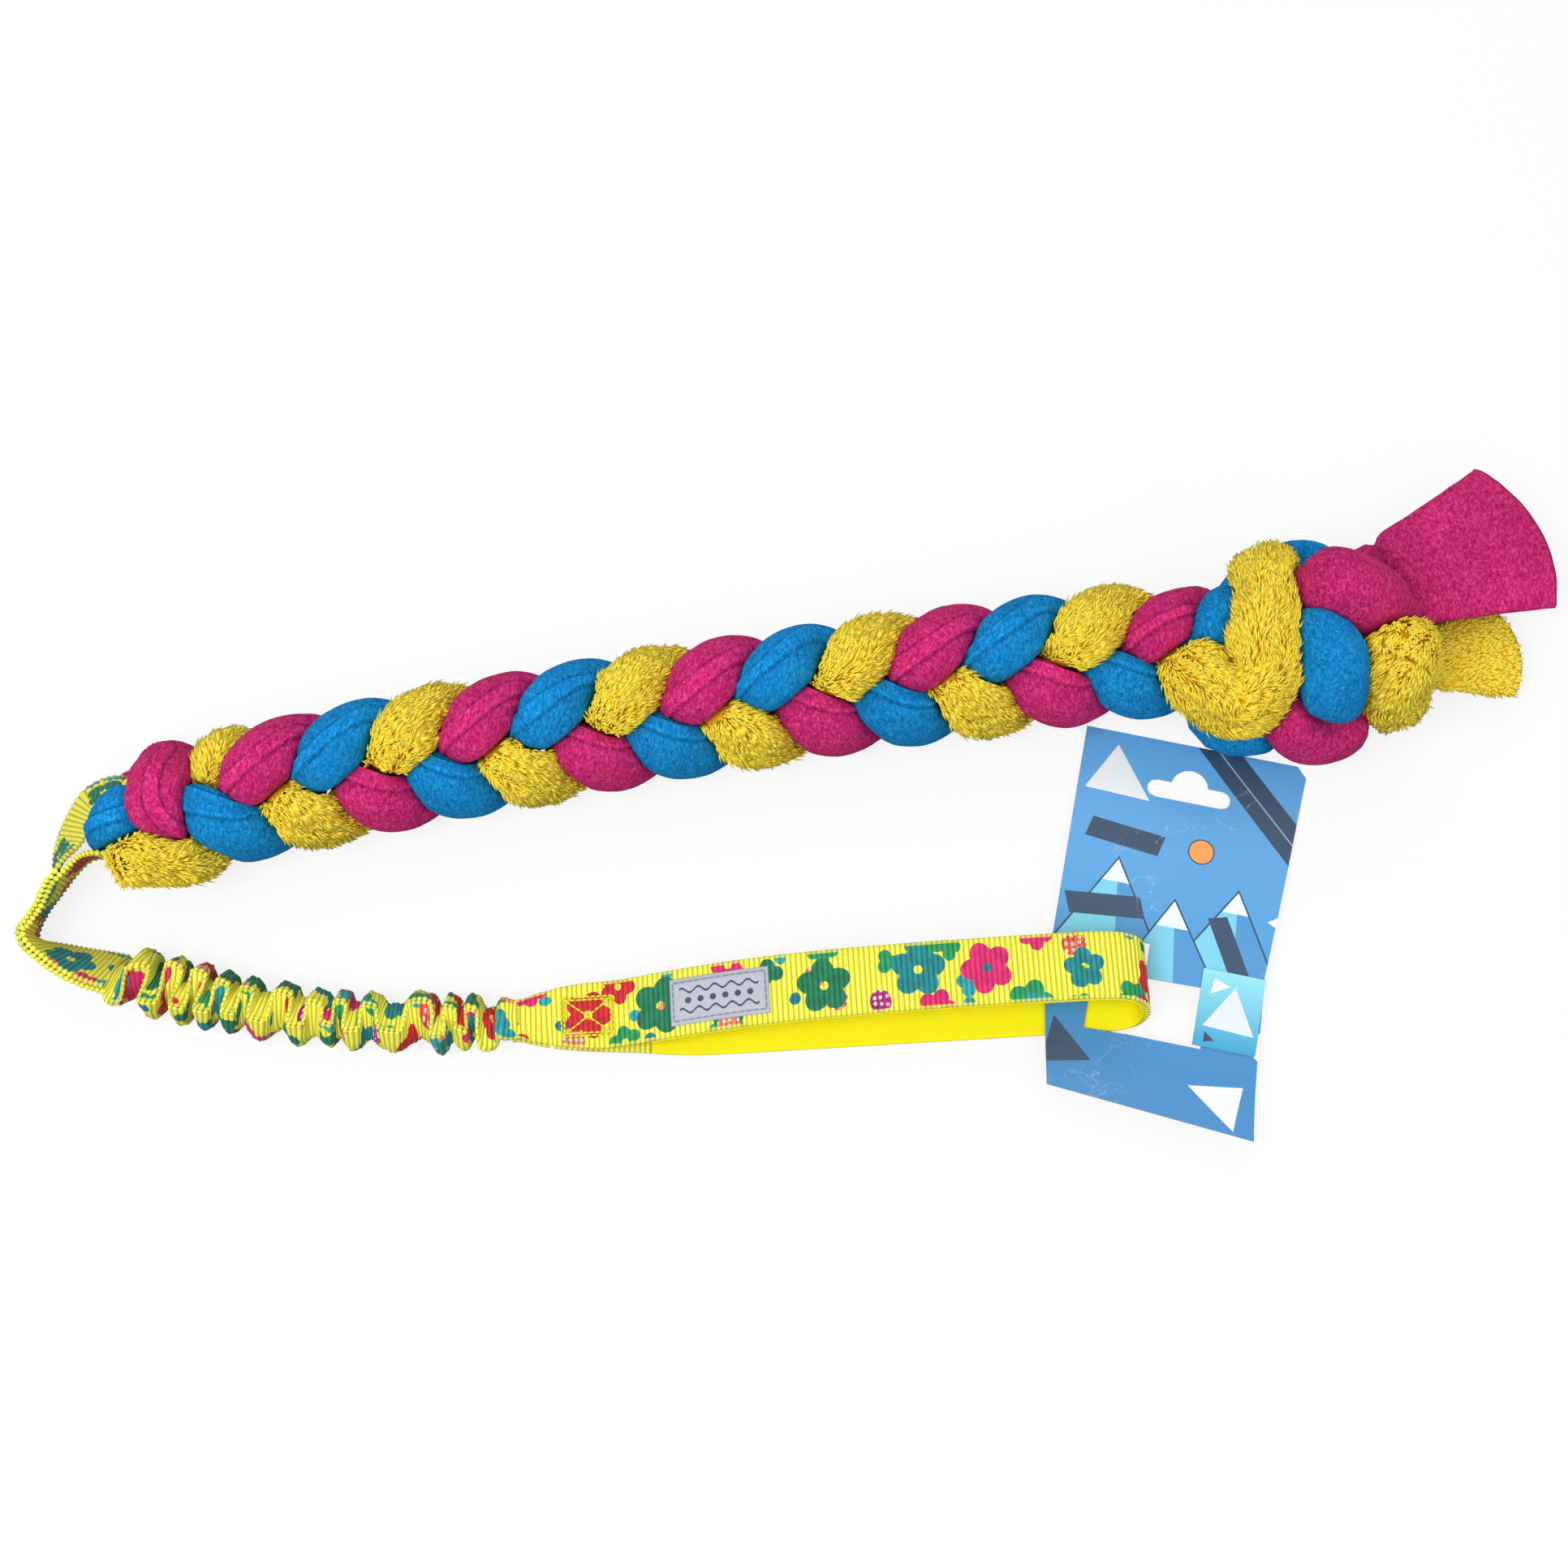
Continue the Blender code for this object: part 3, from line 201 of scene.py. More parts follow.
DIMPLE_HEIGHT = 0.0005
GRAIN_HEIGHT = 0.00018
CARD_REACH = (0.120, 0.026)
CARD_CLEARANCE = 0.0014
CREASE_ROW = 3
CREASE_DEPTH = 0.0026
CREASE_REACH = 1.5
# Painted shade: the crease at the flap's neck is darkened in the colour as well as sunk.
CREASE_PAINTED_SHADE = 0.30

# Each strand: fold points from the loop's far side, its third of a turn, where the weave takes over, its knot
# points in hundredths of the knot's half sizes, and its tail: start, heading, length, drop, widths, thickness.
STRANDS = {
    "pink": (
        "-21 17.5 6 -11 20.5 6 0 22.5 9 6 19.5 18 5.5 12.5 30 5.5 4.5 33 9 -1 28 12 -1.5 19"
        " 15 -.5 11 19.5 3 8.5",
        0,
        0.047,
        "-106 30 -20 -84 -2 -16 -58 -34 -4 -30 -60 -8 0 -74 -30 30 -62 -44 36 -34 -26 18 6 -10 -4 30 10"
        " -6 44 42 20 42 54 50 32 36 72 34 4",
        ((0.2240, 0.0840, 0.0200), 22, 0.0640, 0.0050, 0.0370, 0.0640, 0.0075),
    ),
    "blue": (
        "12 8.5 6 4 4 4.4 -4 1 4.4 -11.5 0 7.2 -15.5 .5 14.5 -13.5 1.5 23.5 -5 3.5 27.5 4 7 20 10 8.5 19"
        " 16 6 25 23 2.5 30",
        2 / 3,
        0.066,
        "-102 14 16 -78 22 12 -48 10 6 -16 4 36 6 -20 50 12 -46 36 6 -56 -4 -30 -52 -42 -80 -62 -46"
        " -76 -18 -56 -60 22 -54 -40 58 -44 -4 76 -30 34 66 -40 80 50 -66",
        ((0.2300, 0.0820, 0.0060), 20, 0.0420, 0.0010, 0.0260, 0.0360, 0.0070),
    ),
    "yellow": (
        "-8 -6.5 19 -4.5 -7.5 23.5 3 -8 25.5 10 -8 24 16 -6 20 20.5 0 18.5 22.5 9 20 24 16.5 25",
        1 / 3,
        0.064,
        "-114 -46 30 -86 -62 24 -62 -46 40 -55 -8 52 -52 22 48 -45 46 36 -33 66 6 -17 46 -22 -10 20 -52"
        " 20 -6 -58 60 -10 -42 78 -2 2 72 -20 38 68 -38 12 82 -38 -34",
        ((0.2360, 0.0570, 0.0120), 8, 0.0400, 0.0050, 0.0240, 0.0400, 0.0090),
    ),
}


def distances_along(points):
    """How far along a line each of its points lies."""
    return np.concatenate(([0], np.cumsum(np.linalg.norm(np.diff(points, axis=0), axis=1))))


def unit(rows):
    """Each row as a vector one long."""
    return rows / np.linalg.norm(rows, axis=1)[:, None]


def eased(share):
    """A share from 0 to 1 that starts and ends softly."""
    return share * share * (3 - 2 * share)


def smooth_route(points, step, placed=3):
    """Points about a step apart on a smooth curve, measured on the first placed columns."""
    given = [np.array(p, float) for p in points]
    ends = [2 * given[0] - given[1]] + given + [2 * given[-1] - given[-2]]
    fine = []
    for a, b, c, d in zip(ends, ends[1:], ends[2:], ends[3:]):
        for share in np.linspace(0, 1, 24, endpoint=False):
            cubic = (-a + 3 * b - 3 * c + d) * share**3
            square = (2 * a - 5 * b + 4 * c - d) * share**2
            fine.append((2 * b + (c - a) * share + square + cubic) / 2)
    fine = np.array([*fine, given[-1]])
    along = distances_along(fine[:, :placed])
    wanted = np.linspace(0, along[-1], max(2, round(along[-1] / step) + 1))
    return np.stack([np.interp(wanted, along, column) for column in fine.T], axis=1)


def rows_of_three(words, scale):
    """Points from a text of numbers."""
    return np.array([float(word) for word in words.split()]).reshape(-1, 3) * scale


def plait_point(share, strand_turn):
    """A strand's centre at a share of the plait's length."""
    run = PLAIT_END - PLAIT_START
    side = np.array((-run[1], run[0])) / np.linalg.norm(run)
    turns = PLAIT_TURNS * (share + PLAIT_EASE * share * (1 - share))
    angle = 2 * math.pi * (turns - PLAIT_PHASE + strand_turn)
    sway = PLAIT_SWAY * math.sin(angle)
    rise = PLAIT_RISE * math.sin(2 * angle)
    across = sway * math.cos(PLAIT_ROLL) - rise * math.sin(PLAIT_ROLL)
    up = sway * math.sin(PLAIT_ROLL) + rise * math.cos(PLAIT_ROLL)
    plan = PLAIT_START + run * share + side * (across + 4 * PLAIT_BOW * share * (1 - share))
    return (plan[0], plan[1], PLAIT_HEIGHT + up)


def strand_route(fold, strand_turn, join_share, knot, tail):
    """The strand's centre line in the frame's axes, and how far along it the tail starts."""
    folds = rows_of_three(fold, 0.001) + FOLD_PLACE
    woven = [
        plait_point(share, strand_turn) for share in np.linspace(join_share, WEAVE_END_SHARE, WEAVE_POINTS)
    ]
    knots = KNOT_CENTRE + KNOT_HALF * rows_of_three(knot, 0.01)
    (x, y, z), heading, length, drop = tail[:4]
    heading = math.radians(heading)
    ends = [
        (x + length * s * math.cos(heading), y + length * s * math.sin(heading), z - drop * s)
        for s in np.linspace(0, 1, 4)
    ]
    body = smooth_route([*folds, *woven, *knots, ends[0]], STRAND_ROW)
    flat = smooth_route(ends, STRAND_ROW)
    return np.concatenate((body, flat[1:])) + ORIGIN_SHIFT, len(body) - 1


def ring_frames(route, flat_from):
    """Tangents and two cross directions along a route, turned level where the tail starts."""
    tangents = unit(np.gradient(route, axis=0))
    first = np.cross(tangents[0], (0, 0, 1))
    sides = [first / np.linalg.norm(first)]
    for tangent in tangents[1:]:
        side = sides[-1] - tangent * np.dot(sides[-1], tangent)
        sides.append(side / np.linalg.norm(side))
    sides = np.array(sides)
    ups = np.cross(sides, tangents)
    level = np.cross(tangents[flat_from], (0, 0, 1))
    level /= np.linalg.norm(level)
    swing = math.atan2(np.dot(level, ups[flat_from]), np.dot(level, sides[flat_from]))
    swing = (swing + math.pi / 2) % math.pi - math.pi / 2
    turn_rows = TAIL_TURN / STRAND_ROW
    angle = swing * np.clip((np.arange(len(route)) - flat_from + turn_rows) / turn_rows, 0, 1)
    cos, sin = np.cos(angle)[:, None], np.sin(angle)[:, None]
    return tangents, sides * cos + ups * sin, ups * cos - sides * sin


def blur(values, rows, columns):
    """Smooths a field over rows and, round the tube, over columns."""
    for axis, reach in ((0, rows), (1, columns)):
        if reach < 1:
            continue
        kernel = np.hanning(2 * reach + 3)[1:-1]
        kernel /= kernel.sum()
        pad = [(0, 0)] * values.ndim
        pad[axis] = (reach, reach)
        padded = np.pad(values, pad, mode="edge" if axis == 0 else "wrap")
        count = values.shape[axis]
        values = sum(k * np.take(padded, range(i, i + count), axis=axis) for i, k in enumerate(kernel))
    return values


def tube_faces(rows, columns):
    """The point numbers of a tube's rows, and its faces, closed round the tube and open at its ends."""
    numbers = np.arange(rows * columns).reshape(rows, columns)
    after = np.roll(numbers, -1, axis=1)
    faces = np.stack((numbers[:-1], after[:-1], after[1:], numbers[1:]), axis=2)
    return numbers, faces.reshape(-1, 4).tolist()


def skin_tree(points):
    """A search tree of a tube's skin, given as rows of points."""
    faces = tube_faces(*points.shape[:2])[1]
    return BVHTree.FromPolygons(points.reshape(-1, 3).tolist(), faces)


def surface_tree(mesh):
    """A search tree of a mesh's surface."""
    return BVHTree.FromPolygons([v.co for v in mesh.vertices], [p.vertices for p in mesh.polygons])


def tail_ring(tail, share, columns):
    """Half sizes round a flat tail: a soft-edged flap, wider towards its end."""
    neck, end, thick = tail[4:]
    angles = 2 * math.pi * np.arange(columns) / columns
    width = (neck + (end - neck) * share) / 2
    across = np.sign(np.cos(angles)) * np.abs(np.cos(angles)) ** TAIL_SIDE_ROUNDING * width
    crown = 1 - TAIL_CROWN * (np.cos(angles) ** 2)
    high = np.sign(np.sin(angles)) * np.abs(np.sin(angles)) ** TAIL_FACE_ROUNDING * thick / 2 * crown
    return across, high


def make_skin(colour, node_name):
    """The strand's skin as rows of points on its CAD solid, rounded, with a soft flat tail."""
    fold, turn, join, knot, tail = STRANDS[colour]
    route, flat_from = strand_route(fold, turn, join, knot, tail)
    tangents, sides, ups = ring_frames(route, flat_from)
    angles = 2 * math.pi * np.arange(STRAND_COLUMNS) / STRAND_COLUMNS
    directions = sides[:, None] * np.cos(angles)[None, :, None] + ups[:, None] * np.sin(angles)[None, :, None]
    solid = surface_tree(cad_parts[node_name].data)
    reach = np.full(directions.shape[:2], np.nan)
    for row, centre in enumerate(route):
        start = Vector(centre)
        for column in range(STRAND_COLUMNS):
            hit = solid.ray_cast(start, Vector(directions[row, column]), RAY_LENGTH)
            if hit[3] is not None:
                reach[row, column] = hit[3]
    rows = np.arange(len(route))
    for column in range(STRAND_COLUMNS):
        known = ~np.isnan(reach[:, column])
        reach[:, column] = np.interp(rows, rows[known], reach[known, column])
    reach = blur(np.minimum(reach, MOST_REACH), 2, 7) * SKIN_EASE
    return {
        "route": route,
        "flat_from": flat_from,
        "sides": sides,
        "ups": ups,
        "tangents": tangents,
        "directions": directions,
        "reach": reach,
        "tail": tail,
    }


def skin_points(skin):
    """The skin's points, from its reaches in the body and from the flap's form in the tail."""
    points = skin["route"][:, None] + skin["directions"] * skin["reach"][:, :, None]
    flat_from = skin["flat_from"]
    last = len(points) - 1
    ease_rows = TAIL_EASE / STRAND_ROW
    for row in range(int(flat_from - ease_rows), last + 1):
        share = max(0, (row - flat_from) / (last - flat_from))
        across, high = tail_ring(skin["tail"], share, STRAND_COLUMNS)
        flap = skin["route"][row] + np.outer(across, skin["sides"][row]) + np.outer(high, skin["ups"][row])
        rounding = 1 - (across / np.abs(across).max()) ** 2 - TAIL_CORNER_SHARE
        flap += np.outer(rounding * TAIL_BULGE_SHARE * skin["tail"][5] * share**2, skin["tangents"][row])
        mix = min(1, max(0, (row - flat_from + ease_rows) / ease_rows))
        points[row] += (flap - points[row]) * eased(mix)
    points[:, :, 2] = np.maximum(points[:, :, 2], SKIN_FLOOR)
    return points


def swell(skins):
    """Fills each strand out until it presses on its neighbours, as stuffed cloth does."""
    for _ in range(SWELL_ROUNDS):
        for name, skin in skins.items():
            trees = [skin_tree(skin_points(other)) for key, other in skins.items() if key != name]
            points = skin_points(skin)
            free = np.full(skin["reach"].shape, SWELL)
            body = skin["flat_from"] - int(TAIL_EASE / STRAND_ROW)
            for row in range(body):
                for column in range(STRAND_COLUMNS):
                    start = Vector(points[row, column])
                    heading = Vector(skin["directions"][row, column])
                    for near in trees:
                        hit = near.ray_cast(start, heading, SWELL + CONTACT_GAP)
                        if hit[3] is not None:
                            free[row, column] = min(free[row, column], max(0, hit[3] - CONTACT_GAP))
            skin["reach"] += blur(free, 2, 3) * SWELL_SHARE
    return skins


def closed_tube(name, points):
    """A closed mesh object through rows of points, domed over at both ends."""
    rows = [points[0].mean(axis=0) + (points[0] - points[0].mean(axis=0)) * s for s in (0.35, 0.75)]
    rows += list(points)
    rows += [points[-1].mean(axis=0) + (points[-1] - points[-1].mean(axis=0)) * s for s in (0.75, 0.35)]
    grid = np.array(rows)
    numbers, faces = tube_faces(*grid.shape[:2])
    faces.append(list(reversed(numbers[0].tolist())))
    faces.append(numbers[-1].tolist())
    return mesh_object(name, grid.reshape(-1, 3), faces)


def mesh_object(name, points, faces):
    """A smooth mesh object with its faces turned outward."""
    mesh = bpy.data.meshes.new(name)
    mesh.from_pydata(np.asarray(points).tolist(), [], faces)
    mesh.update()
    mesh.calc_loop_triangles()
    corners = np.array([v.co for v in mesh.vertices])
    triangles = np.array([t.vertices for t in mesh.loop_triangles])
    a, b, c = (corners[triangles[:, k]] for k in range(3))
    if np.einsum("ij,ij->", a, np.cross(b, c)) < 0:
        mesh.flip_normals()
    mesh.shade_smooth()
    made = bpy.data.objects.new(name, mesh)
    bpy.context.scene.collection.objects.link(made)
    return made


def noise_field(shape, seed, reach_rows, reach_columns):
    """Smooth random values between about -1 and 1 over rows and columns."""
    rough = np.random.default_rng(seed).standard_normal(shape)
    smooth = blur(rough, reach_rows, reach_columns)
    return smooth / (np.abs(smooth).max() + 1e-9)


def seam_relief(skin, offset_seed):
    """Height of the sewn seam over the skin: two fine ridges with a raised band between, on the seen side; and a
    tone of painted light, with painted highlight on the ridges and band and painted shade in the grooves beside
    them.
    """
    route, sides, ups = skin["route"], skin["sides"], skin["ups"]
    seen = np.array((0.0, 0.05, 1.0))
    angle = np.unwrap(np.arctan2(ups @ seen, sides @ seen))
    angle = blur(angle[:, None], 6, 0)[:, 0]
    drift = noise_field((len(route), 1), offset_seed, 30, 0)[:, 0] * SEAM_DRIFT
    columns = 2 * math.pi * np.arange(STRAND_COLUMNS) / STRAND_COLUMNS
    off = (columns[None] - (angle + drift)[:, None] + math.pi) % (2 * math.pi) - math.pi
    distance = off * skin["reach"]
    spread = SEAM_HALF_SPACING * (1 + SEAM_SPREAD * noise_field((len(route), 1), offset_seed + 1, 9, 0))
    edge_off = np.abs(distance) - spread
    ridge = np.exp(-((edge_off / SEAM_RIDGE_WIDTH) ** 2))
    band = np.clip(0.5 - edge_off / SEAM_BAND_EASE, 0, 1)
    groove = np.exp(-(((edge_off - SEAM_GROOVE_OFFSET) / SEAM_GROOVE_WIDTH) ** 2))
    knot_edge = PLAIT_END[0] + ORIGIN_SHIFT[0] + SEAM_PAST_PLAIT
    fade = blur(np.clip((knot_edge - route[:, 0:1]) / SEAM_FADE, 0, 1), 3, 0)
    relief = ridge * SEAM_RIDGE_HEIGHT + band * SEAM_BAND_HEIGHT
    relief = relief - groove * SEAM_RIDGE_HEIGHT * SEAM_GROOVE_SHARE
    # The seam's tone is painted light: lighter on the raised ridges and band, painted shade in the grooves.
    ridge_highlight, band_highlight, groove_shade = SEAM_PAINTED_LIGHT
    tone = 0.5 + (ridge_highlight * ridge + band_highlight * band - groove_shade * groove) * fade
    return relief * fade, tone


skins = swell(
    {
        "pink": make_skin("pink", "pink_fleece_strand"),
        "blue": make_skin("blue", "blue_fleece_strand"),
        "yellow": make_skin("yellow", "yellow_fur_strand"),
    }
)


def open_material(name):
    """A new material, its node tree and its shader."""
    made = bpy.data.materials.new(name)
    made.use_nodes = True
    return made, made.node_tree, made.node_tree.nodes["Principled BSDF"]


def fleece(name, dark, plain, pale):
    """Polyester fleece, knitted and brushed: a matt short nap of tiny curls that lights up at its edges.

    The curls are about 1.5 mm long. Their colour follows the same field as the bump, with the fleece's own
    mottling: painted shade in the hollows between them and painted highlight on their crowns.
    """
    made, tree, shader = open_material(name)
    place = add_node(tree, "TexCoord").outputs["Object"]
    stretched = add_node(tree, "Mapping", {"Vector": place, "Scale": (1.5, 0.8, 1.0)})
    curls = add_node(
        tree,
        "TexNoise",
        {"Vector": stretched, "Scale": 680.0, "Detail": 3.0, "Roughness": 0.6, "Distortion": 0.8},
    )
    fibres = add_node(tree, "TexNoise", {"Vector": place, "Scale": 2200.0, "Detail": 2.0})
    mixed = add_node(
        tree, "Math", {0: fibres.outputs["Fac"], 1: 0.35, 2: curls.outputs["Fac"]}, operation="MULTIPLY_ADD"
    )
    # The colour follows the bump's height: painted shade in the low places between the curls, painted highlight
    # on their crowns.
    ramp = add_node(tree, "ValToRGB", {"Fac": mixed})
    ramp.color_ramp.elements[0].position = 0.52
    ramp.color_ramp.elements[0].color = linear(dark)
    ramp.color_ramp.elements[1].position = 0.88
    ramp.color_ramp.elements[1].color = linear(pale)
    middle = ramp.color_ramp.elements.new(0.68)
    middle.color = linear(plain)
    patches = add_node(tree, "TexNoise", {"Vector": place, "Scale": 60.0, "Detail": 3.0})
    soft = add_node(
        tree,
        "MapRange",
        {0: patches.outputs["Fac"], "From Min": 0.3, "From Max": 0.7, "To Min": 0.88, "To Max": 1.08},
    )
    # The seam attribute lightens and darkens the colour: painted light on the seam, and painted shade in the
    # flap's crease.
    seam = add_node(tree, "Attribute", attribute_name="seam")
    tone = add_node(tree, "MapRange", {0: seam.outputs["Fac"], "To Min": 0.35, "To Max": 1.65})
    tone = add_node(tree, "Math", {0: tone, 1: soft}, operation="MULTIPLY")
    toned = add_node(tree, "VectorMath", {0: ramp.outputs["Color"], "Scale": tone}, operation="SCALE")
    tree.links.new(toned.outputs[0], shader.inputs["Base Color"])
    shader.inputs["Roughness"].default_value = 0.95
    shader.inputs["Specular IOR Level"].default_value = 0.15
    shader.inputs["Sheen Weight"].default_value = 0.28
    shader.inputs["Sheen Roughness"].default_value = 0.45
    shader.inputs["Sheen Tint"].default_value = linear(pale)
    bump = add_node(tree, "Bump", {"Strength": 0.6, "Distance": 0.0011, "Height": mixed})
    tree.links.new(bump.outputs[0], shader.inputs["Normal"])
    return made


PINK_FLEECE = fleece("pink_brushed_fleece", "#971350", "#C3226B", "#DB4D8A")
BLUE_FLEECE = fleece("blue_brushed_fleece", "#04629A", "#0880C4", "#2A9BDA")

for colour, node_name, finish, slot_name, seed in (
    ("pink", "pink_fleece_strand", PINK_FLEECE, "pink_fleece", 3),
    ("blue", "blue_fleece_strand", BLUE_FLEECE, "blue_fleece", 11),
):
    skin = skins[colour]
    relief, tone = seam_relief(skin, seed)
    relief += noise_field(skin["reach"].shape, seed + 5, 5, 5) * DIMPLE_HEIGHT
    relief += noise_field(skin["reach"].shape, seed + 6, 1, 1) * GRAIN_HEIGHT
    pinch = np.exp(
        -(((np.arange(len(relief)) - skin["flat_from"] - CREASE_ROW) / CREASE_REACH) ** 2)
    )[:, None]
    relief -= CREASE_DEPTH * pinch
    # Painted shade in the crease.
    tone -= CREASE_PAINTED_SHADE * pinch
    points = skin_points(skin) + skin["directions"] * relief[:, :, None]
    over_card = (points[:, :, 0] > CARD_REACH[0]) & (points[:, :, 1] < CARD_REACH[1])
    points[:, :, 2] = np.maximum(points[:, :, 2], np.where(over_card, CARD_CLEARANCE, FLEECE_FLOOR))
    strand = closed_tube(f"{colour}_fleece_tube", points)
    # The seam attribute carries the painted light of the seam and the painted shade of the crease.
    flat_end = np.full(2 * STRAND_COLUMNS, 0.5)
    strand.data.attributes.new("seam", "FLOAT", "POINT").data.foreach_set(
        "value", np.concatenate((flat_end, tone.ravel(), flat_end)).astype(np.float32)
    )
    strand.data.materials.append(finish)
    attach(strand, "plait")
    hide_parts(node_name)

# The yellow strand's long-pile fur: a tube of polyester backing cloth with thousands of short curved locks on
# it, which lean along the strand and over its neighbours' edges.
FUR_SINK = 0.0020
LOCKS_A_PIECE = 19500
LOCK_LENGTH = 0.0056
LOCK_WIDTH = 0.00056
LOCK_TURN = 1.9
LOCK_TURN_SPREAD = 0.24
LOCK_LEAN = 1.10
LOCK_LEAN_WAVE = 0.34
LOCK_SPREAD = 0.12
LOCK_LENGTH_WAVE = 0.45
LOCK_BEND = 0.35
LOCK_KNEE_SHARE = 0.55
LOCK_TIP_SHARE = 0.45
LOCK_ROOT_DEPTH = 0.0004
LOCK_ROOM = 0.0004
LOCK_KNEE_FLOOR = 0.0004
LOCK_TIP_FLOOR = 0.0003
LOCK_FLOOR = 0.0002
NEAR_ZERO = 1e-9
BACKING_FLOOR = 0.0006
TAIL_PILE_SHARE = 0.6

skin = skins["yellow"]
backing_points = skin_points(skin)
sink = np.minimum(FUR_SINK, skin["reach"] * 0.3)
backing_points = backing_points - skin["directions"] * sink[:, :, None]
backing_points[:, :, 2] = np.maximum(backing_points[:, :, 2], BACKING_FLOOR)
fur_backing = closed_tube("yellow_fur_backing", backing_points)


def fur(name):
    """Polyester plush fur with a soft sheen: pale silky tips over a darker golden base, the darker base being
    painted shade deep in the pile.

    The locks stand in clumps about 4 mm wide.
    """
    made, tree, shader = open_material(name)
    place = add_node(tree, "TexCoord").outputs["Object"]
    depth = add_node(tree, "Attribute", attribute_name="pile")
    clumps = add_node(tree, "TexNoise", {"Vector": place, "Scale": 260.0, "Detail": 3.0})
    mixed = add_node(tree, "Math", {0: clumps.outputs["Fac"], 1: 0.5}, operation="MULTIPLY")
    mixed = add_node(tree, "Math", {0: depth.outputs["Fac"], 1: mixed}, operation="ADD")
    # The colour runs from the roots to the tips: the darker base is painted shade deep in the pile, varied in
    # random clumps.
    ramp = add_node(tree, "ValToRGB", {"Fac": mixed})
    ramp.color_ramp.elements[0].position = 0.15
    ramp.color_ramp.elements[0].color = linear("#F2B416")
    ramp.color_ramp.elements[1].position = 1.15 / 1.5
    ramp.color_ramp.elements[1].color = linear("#FFE84A")
    middle = ramp.color_ramp.elements.new(0.42)
    middle.color = linear("#FFD62A")
    tree.links.new(ramp.outputs["Color"], shader.inputs["Base Color"])
    shader.inputs["Roughness"].default_value = 0.7
    shader.inputs["Specular IOR Level"].default_value = 0.25
    shader.inputs["Sheen Weight"].default_value = 0.12
    shader.inputs["Sheen Roughness"].default_value = 0.5
    shader.inputs["Sheen Tint"].default_value = linear("#FFE86A")
    return made


YELLOW_FUR = fur("yellow_plush_fur")
fur_backing.data.materials.append(YELLOW_FUR)
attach(fur_backing, "plait")
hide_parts("yellow_fur_strand")


def lock_field(name, rows, seed):
    """One piece of fur: spikes of three sides with a bend, sown over some rows of the backing."""
    chance = np.random.default_rng(seed)
    grid = backing_points
    first, last = rows
    trees = [skin_tree(skin_points(skins[other])) for other in ("pink", "blue")]
    along = np.gradient(grid, axis=0)
    around = (np.roll(grid, -1, axis=1) - np.roll(grid, 1, axis=1)) / 2
    normals = np.cross(around, along)
    area = np.linalg.norm(normals, axis=2)
    normals /= area[:, :, None] + 1e-12
    facing = np.sign((normals * skin["directions"]).sum(axis=2))
    normals *= facing[:, :, None]
    area[:first] = 0
    area[last:] = 0
    area[grid[:, :, 2] < 0.0015] *= 0.15
    chosen = chance.choice(area.size, size=3 * LOCKS_A_PIECE, p=(area / area.sum()).ravel())
    lean_noise = noise_field(area.shape, seed + 1, 4, 3)
    twist_noise = noise_field(area.shape, seed + 2, 5, 4)
    length_noise = noise_field(area.shape, seed + 3, 3, 2)
    corners, faces, depths = [], [], []
    made = 0
    for number in chosen:
        if made == LOCKS_A_PIECE:
            break
        row, column = divmod(int(number), STRAND_COLUMNS)
        normal = normals[row, column]
        root = grid[row, column] + along[row, column] * chance.uniform(-0.5, 0.5)
        root = root + around[row, column] * chance.uniform(-0.5, 0.5)
        start = Vector(root)
        if any(near.ray_cast(start, Vector(normal), FUR_SINK + LOCK_ROOM)[3] is not None for near in trees):
            continue
        run = along[row, column] / (np.linalg.norm(along[row, column]) + 1e-12)
        side = np.cross(normal, run)
        turn = LOCK_TURN * twist_noise[row, column] + chance.normal(0, LOCK_TURN_SPREAD)
        lie = run * math.cos(turn) + side * math.sin(turn)
        lean = LOCK_LEAN + LOCK_LEAN_WAVE * lean_noise[row, column] + chance.normal(0, LOCK_SPREAD)
        length_wave = LOCK_LENGTH_WAVE * length_noise[row, column]
        length = LOCK_LENGTH * (1 + length_wave + chance.normal(0, LOCK_SPREAD))
        length *= TAIL_PILE_SHARE if row > skin["flat_from"] else 1
        rise = normal * math.cos(lean) + lie * math.sin(lean)
        bend = normal * math.cos(lean + LOCK_BEND) + lie * math.sin(lean + LOCK_BEND)
        middle = root + rise * length * LOCK_KNEE_SHARE
        tip = middle + bend * length * LOCK_TIP_SHARE
        middle[2] = max(middle[2], LOCK_KNEE_FLOOR)
        tip[2] = max(tip[2], LOCK_TIP_FLOOR)
        cross = np.cross(rise, normal)
        cross /= np.linalg.norm(cross) + NEAR_ZERO
        back = np.cross(cross, rise)
        base = len(corners)
        for place, size in ((root - normal * LOCK_ROOT_DEPTH, LOCK_WIDTH), (middle, LOCK_WIDTH * 0.8)):
            for k in range(3):
                angle = 2 * math.pi * k / 3
                corners.append(place + (cross * math.cos(angle) + back * math.sin(angle)) * size)
        corners.append(tip)
        depths += [0.0] * 3 + [LOCK_KNEE_SHARE] * 3 + [1.0]
        for k in range(3):
            n = (k + 1) % 3
            faces.append((base + k, base + n, base + 3 + n, base + 3 + k))
            faces.append((base + 3 + k, base + 3 + n, base + 6))
        faces.append((base + 2, base + 1, base))
        made += 1
    piece = mesh_object(name, np.maximum(np.array(corners), (-9, -9, LOCK_FLOOR)), faces)
    pile = piece.data.attributes.new("pile", "FLOAT", "POINT")
    pile.data.foreach_set("value", np.array(depths, np.float32))
    piece.data.materials.append(YELLOW_FUR)
    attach(piece, "plait")
    return piece


third = len(backing_points) // 3
lock_field("yellow_fur_pile_start", (2, third), 21)
lock_field("yellow_fur_pile_middle", (third, 2 * third), 22)
lock_field("yellow_fur_pile_end", (2 * third, len(backing_points) - 2), 23)

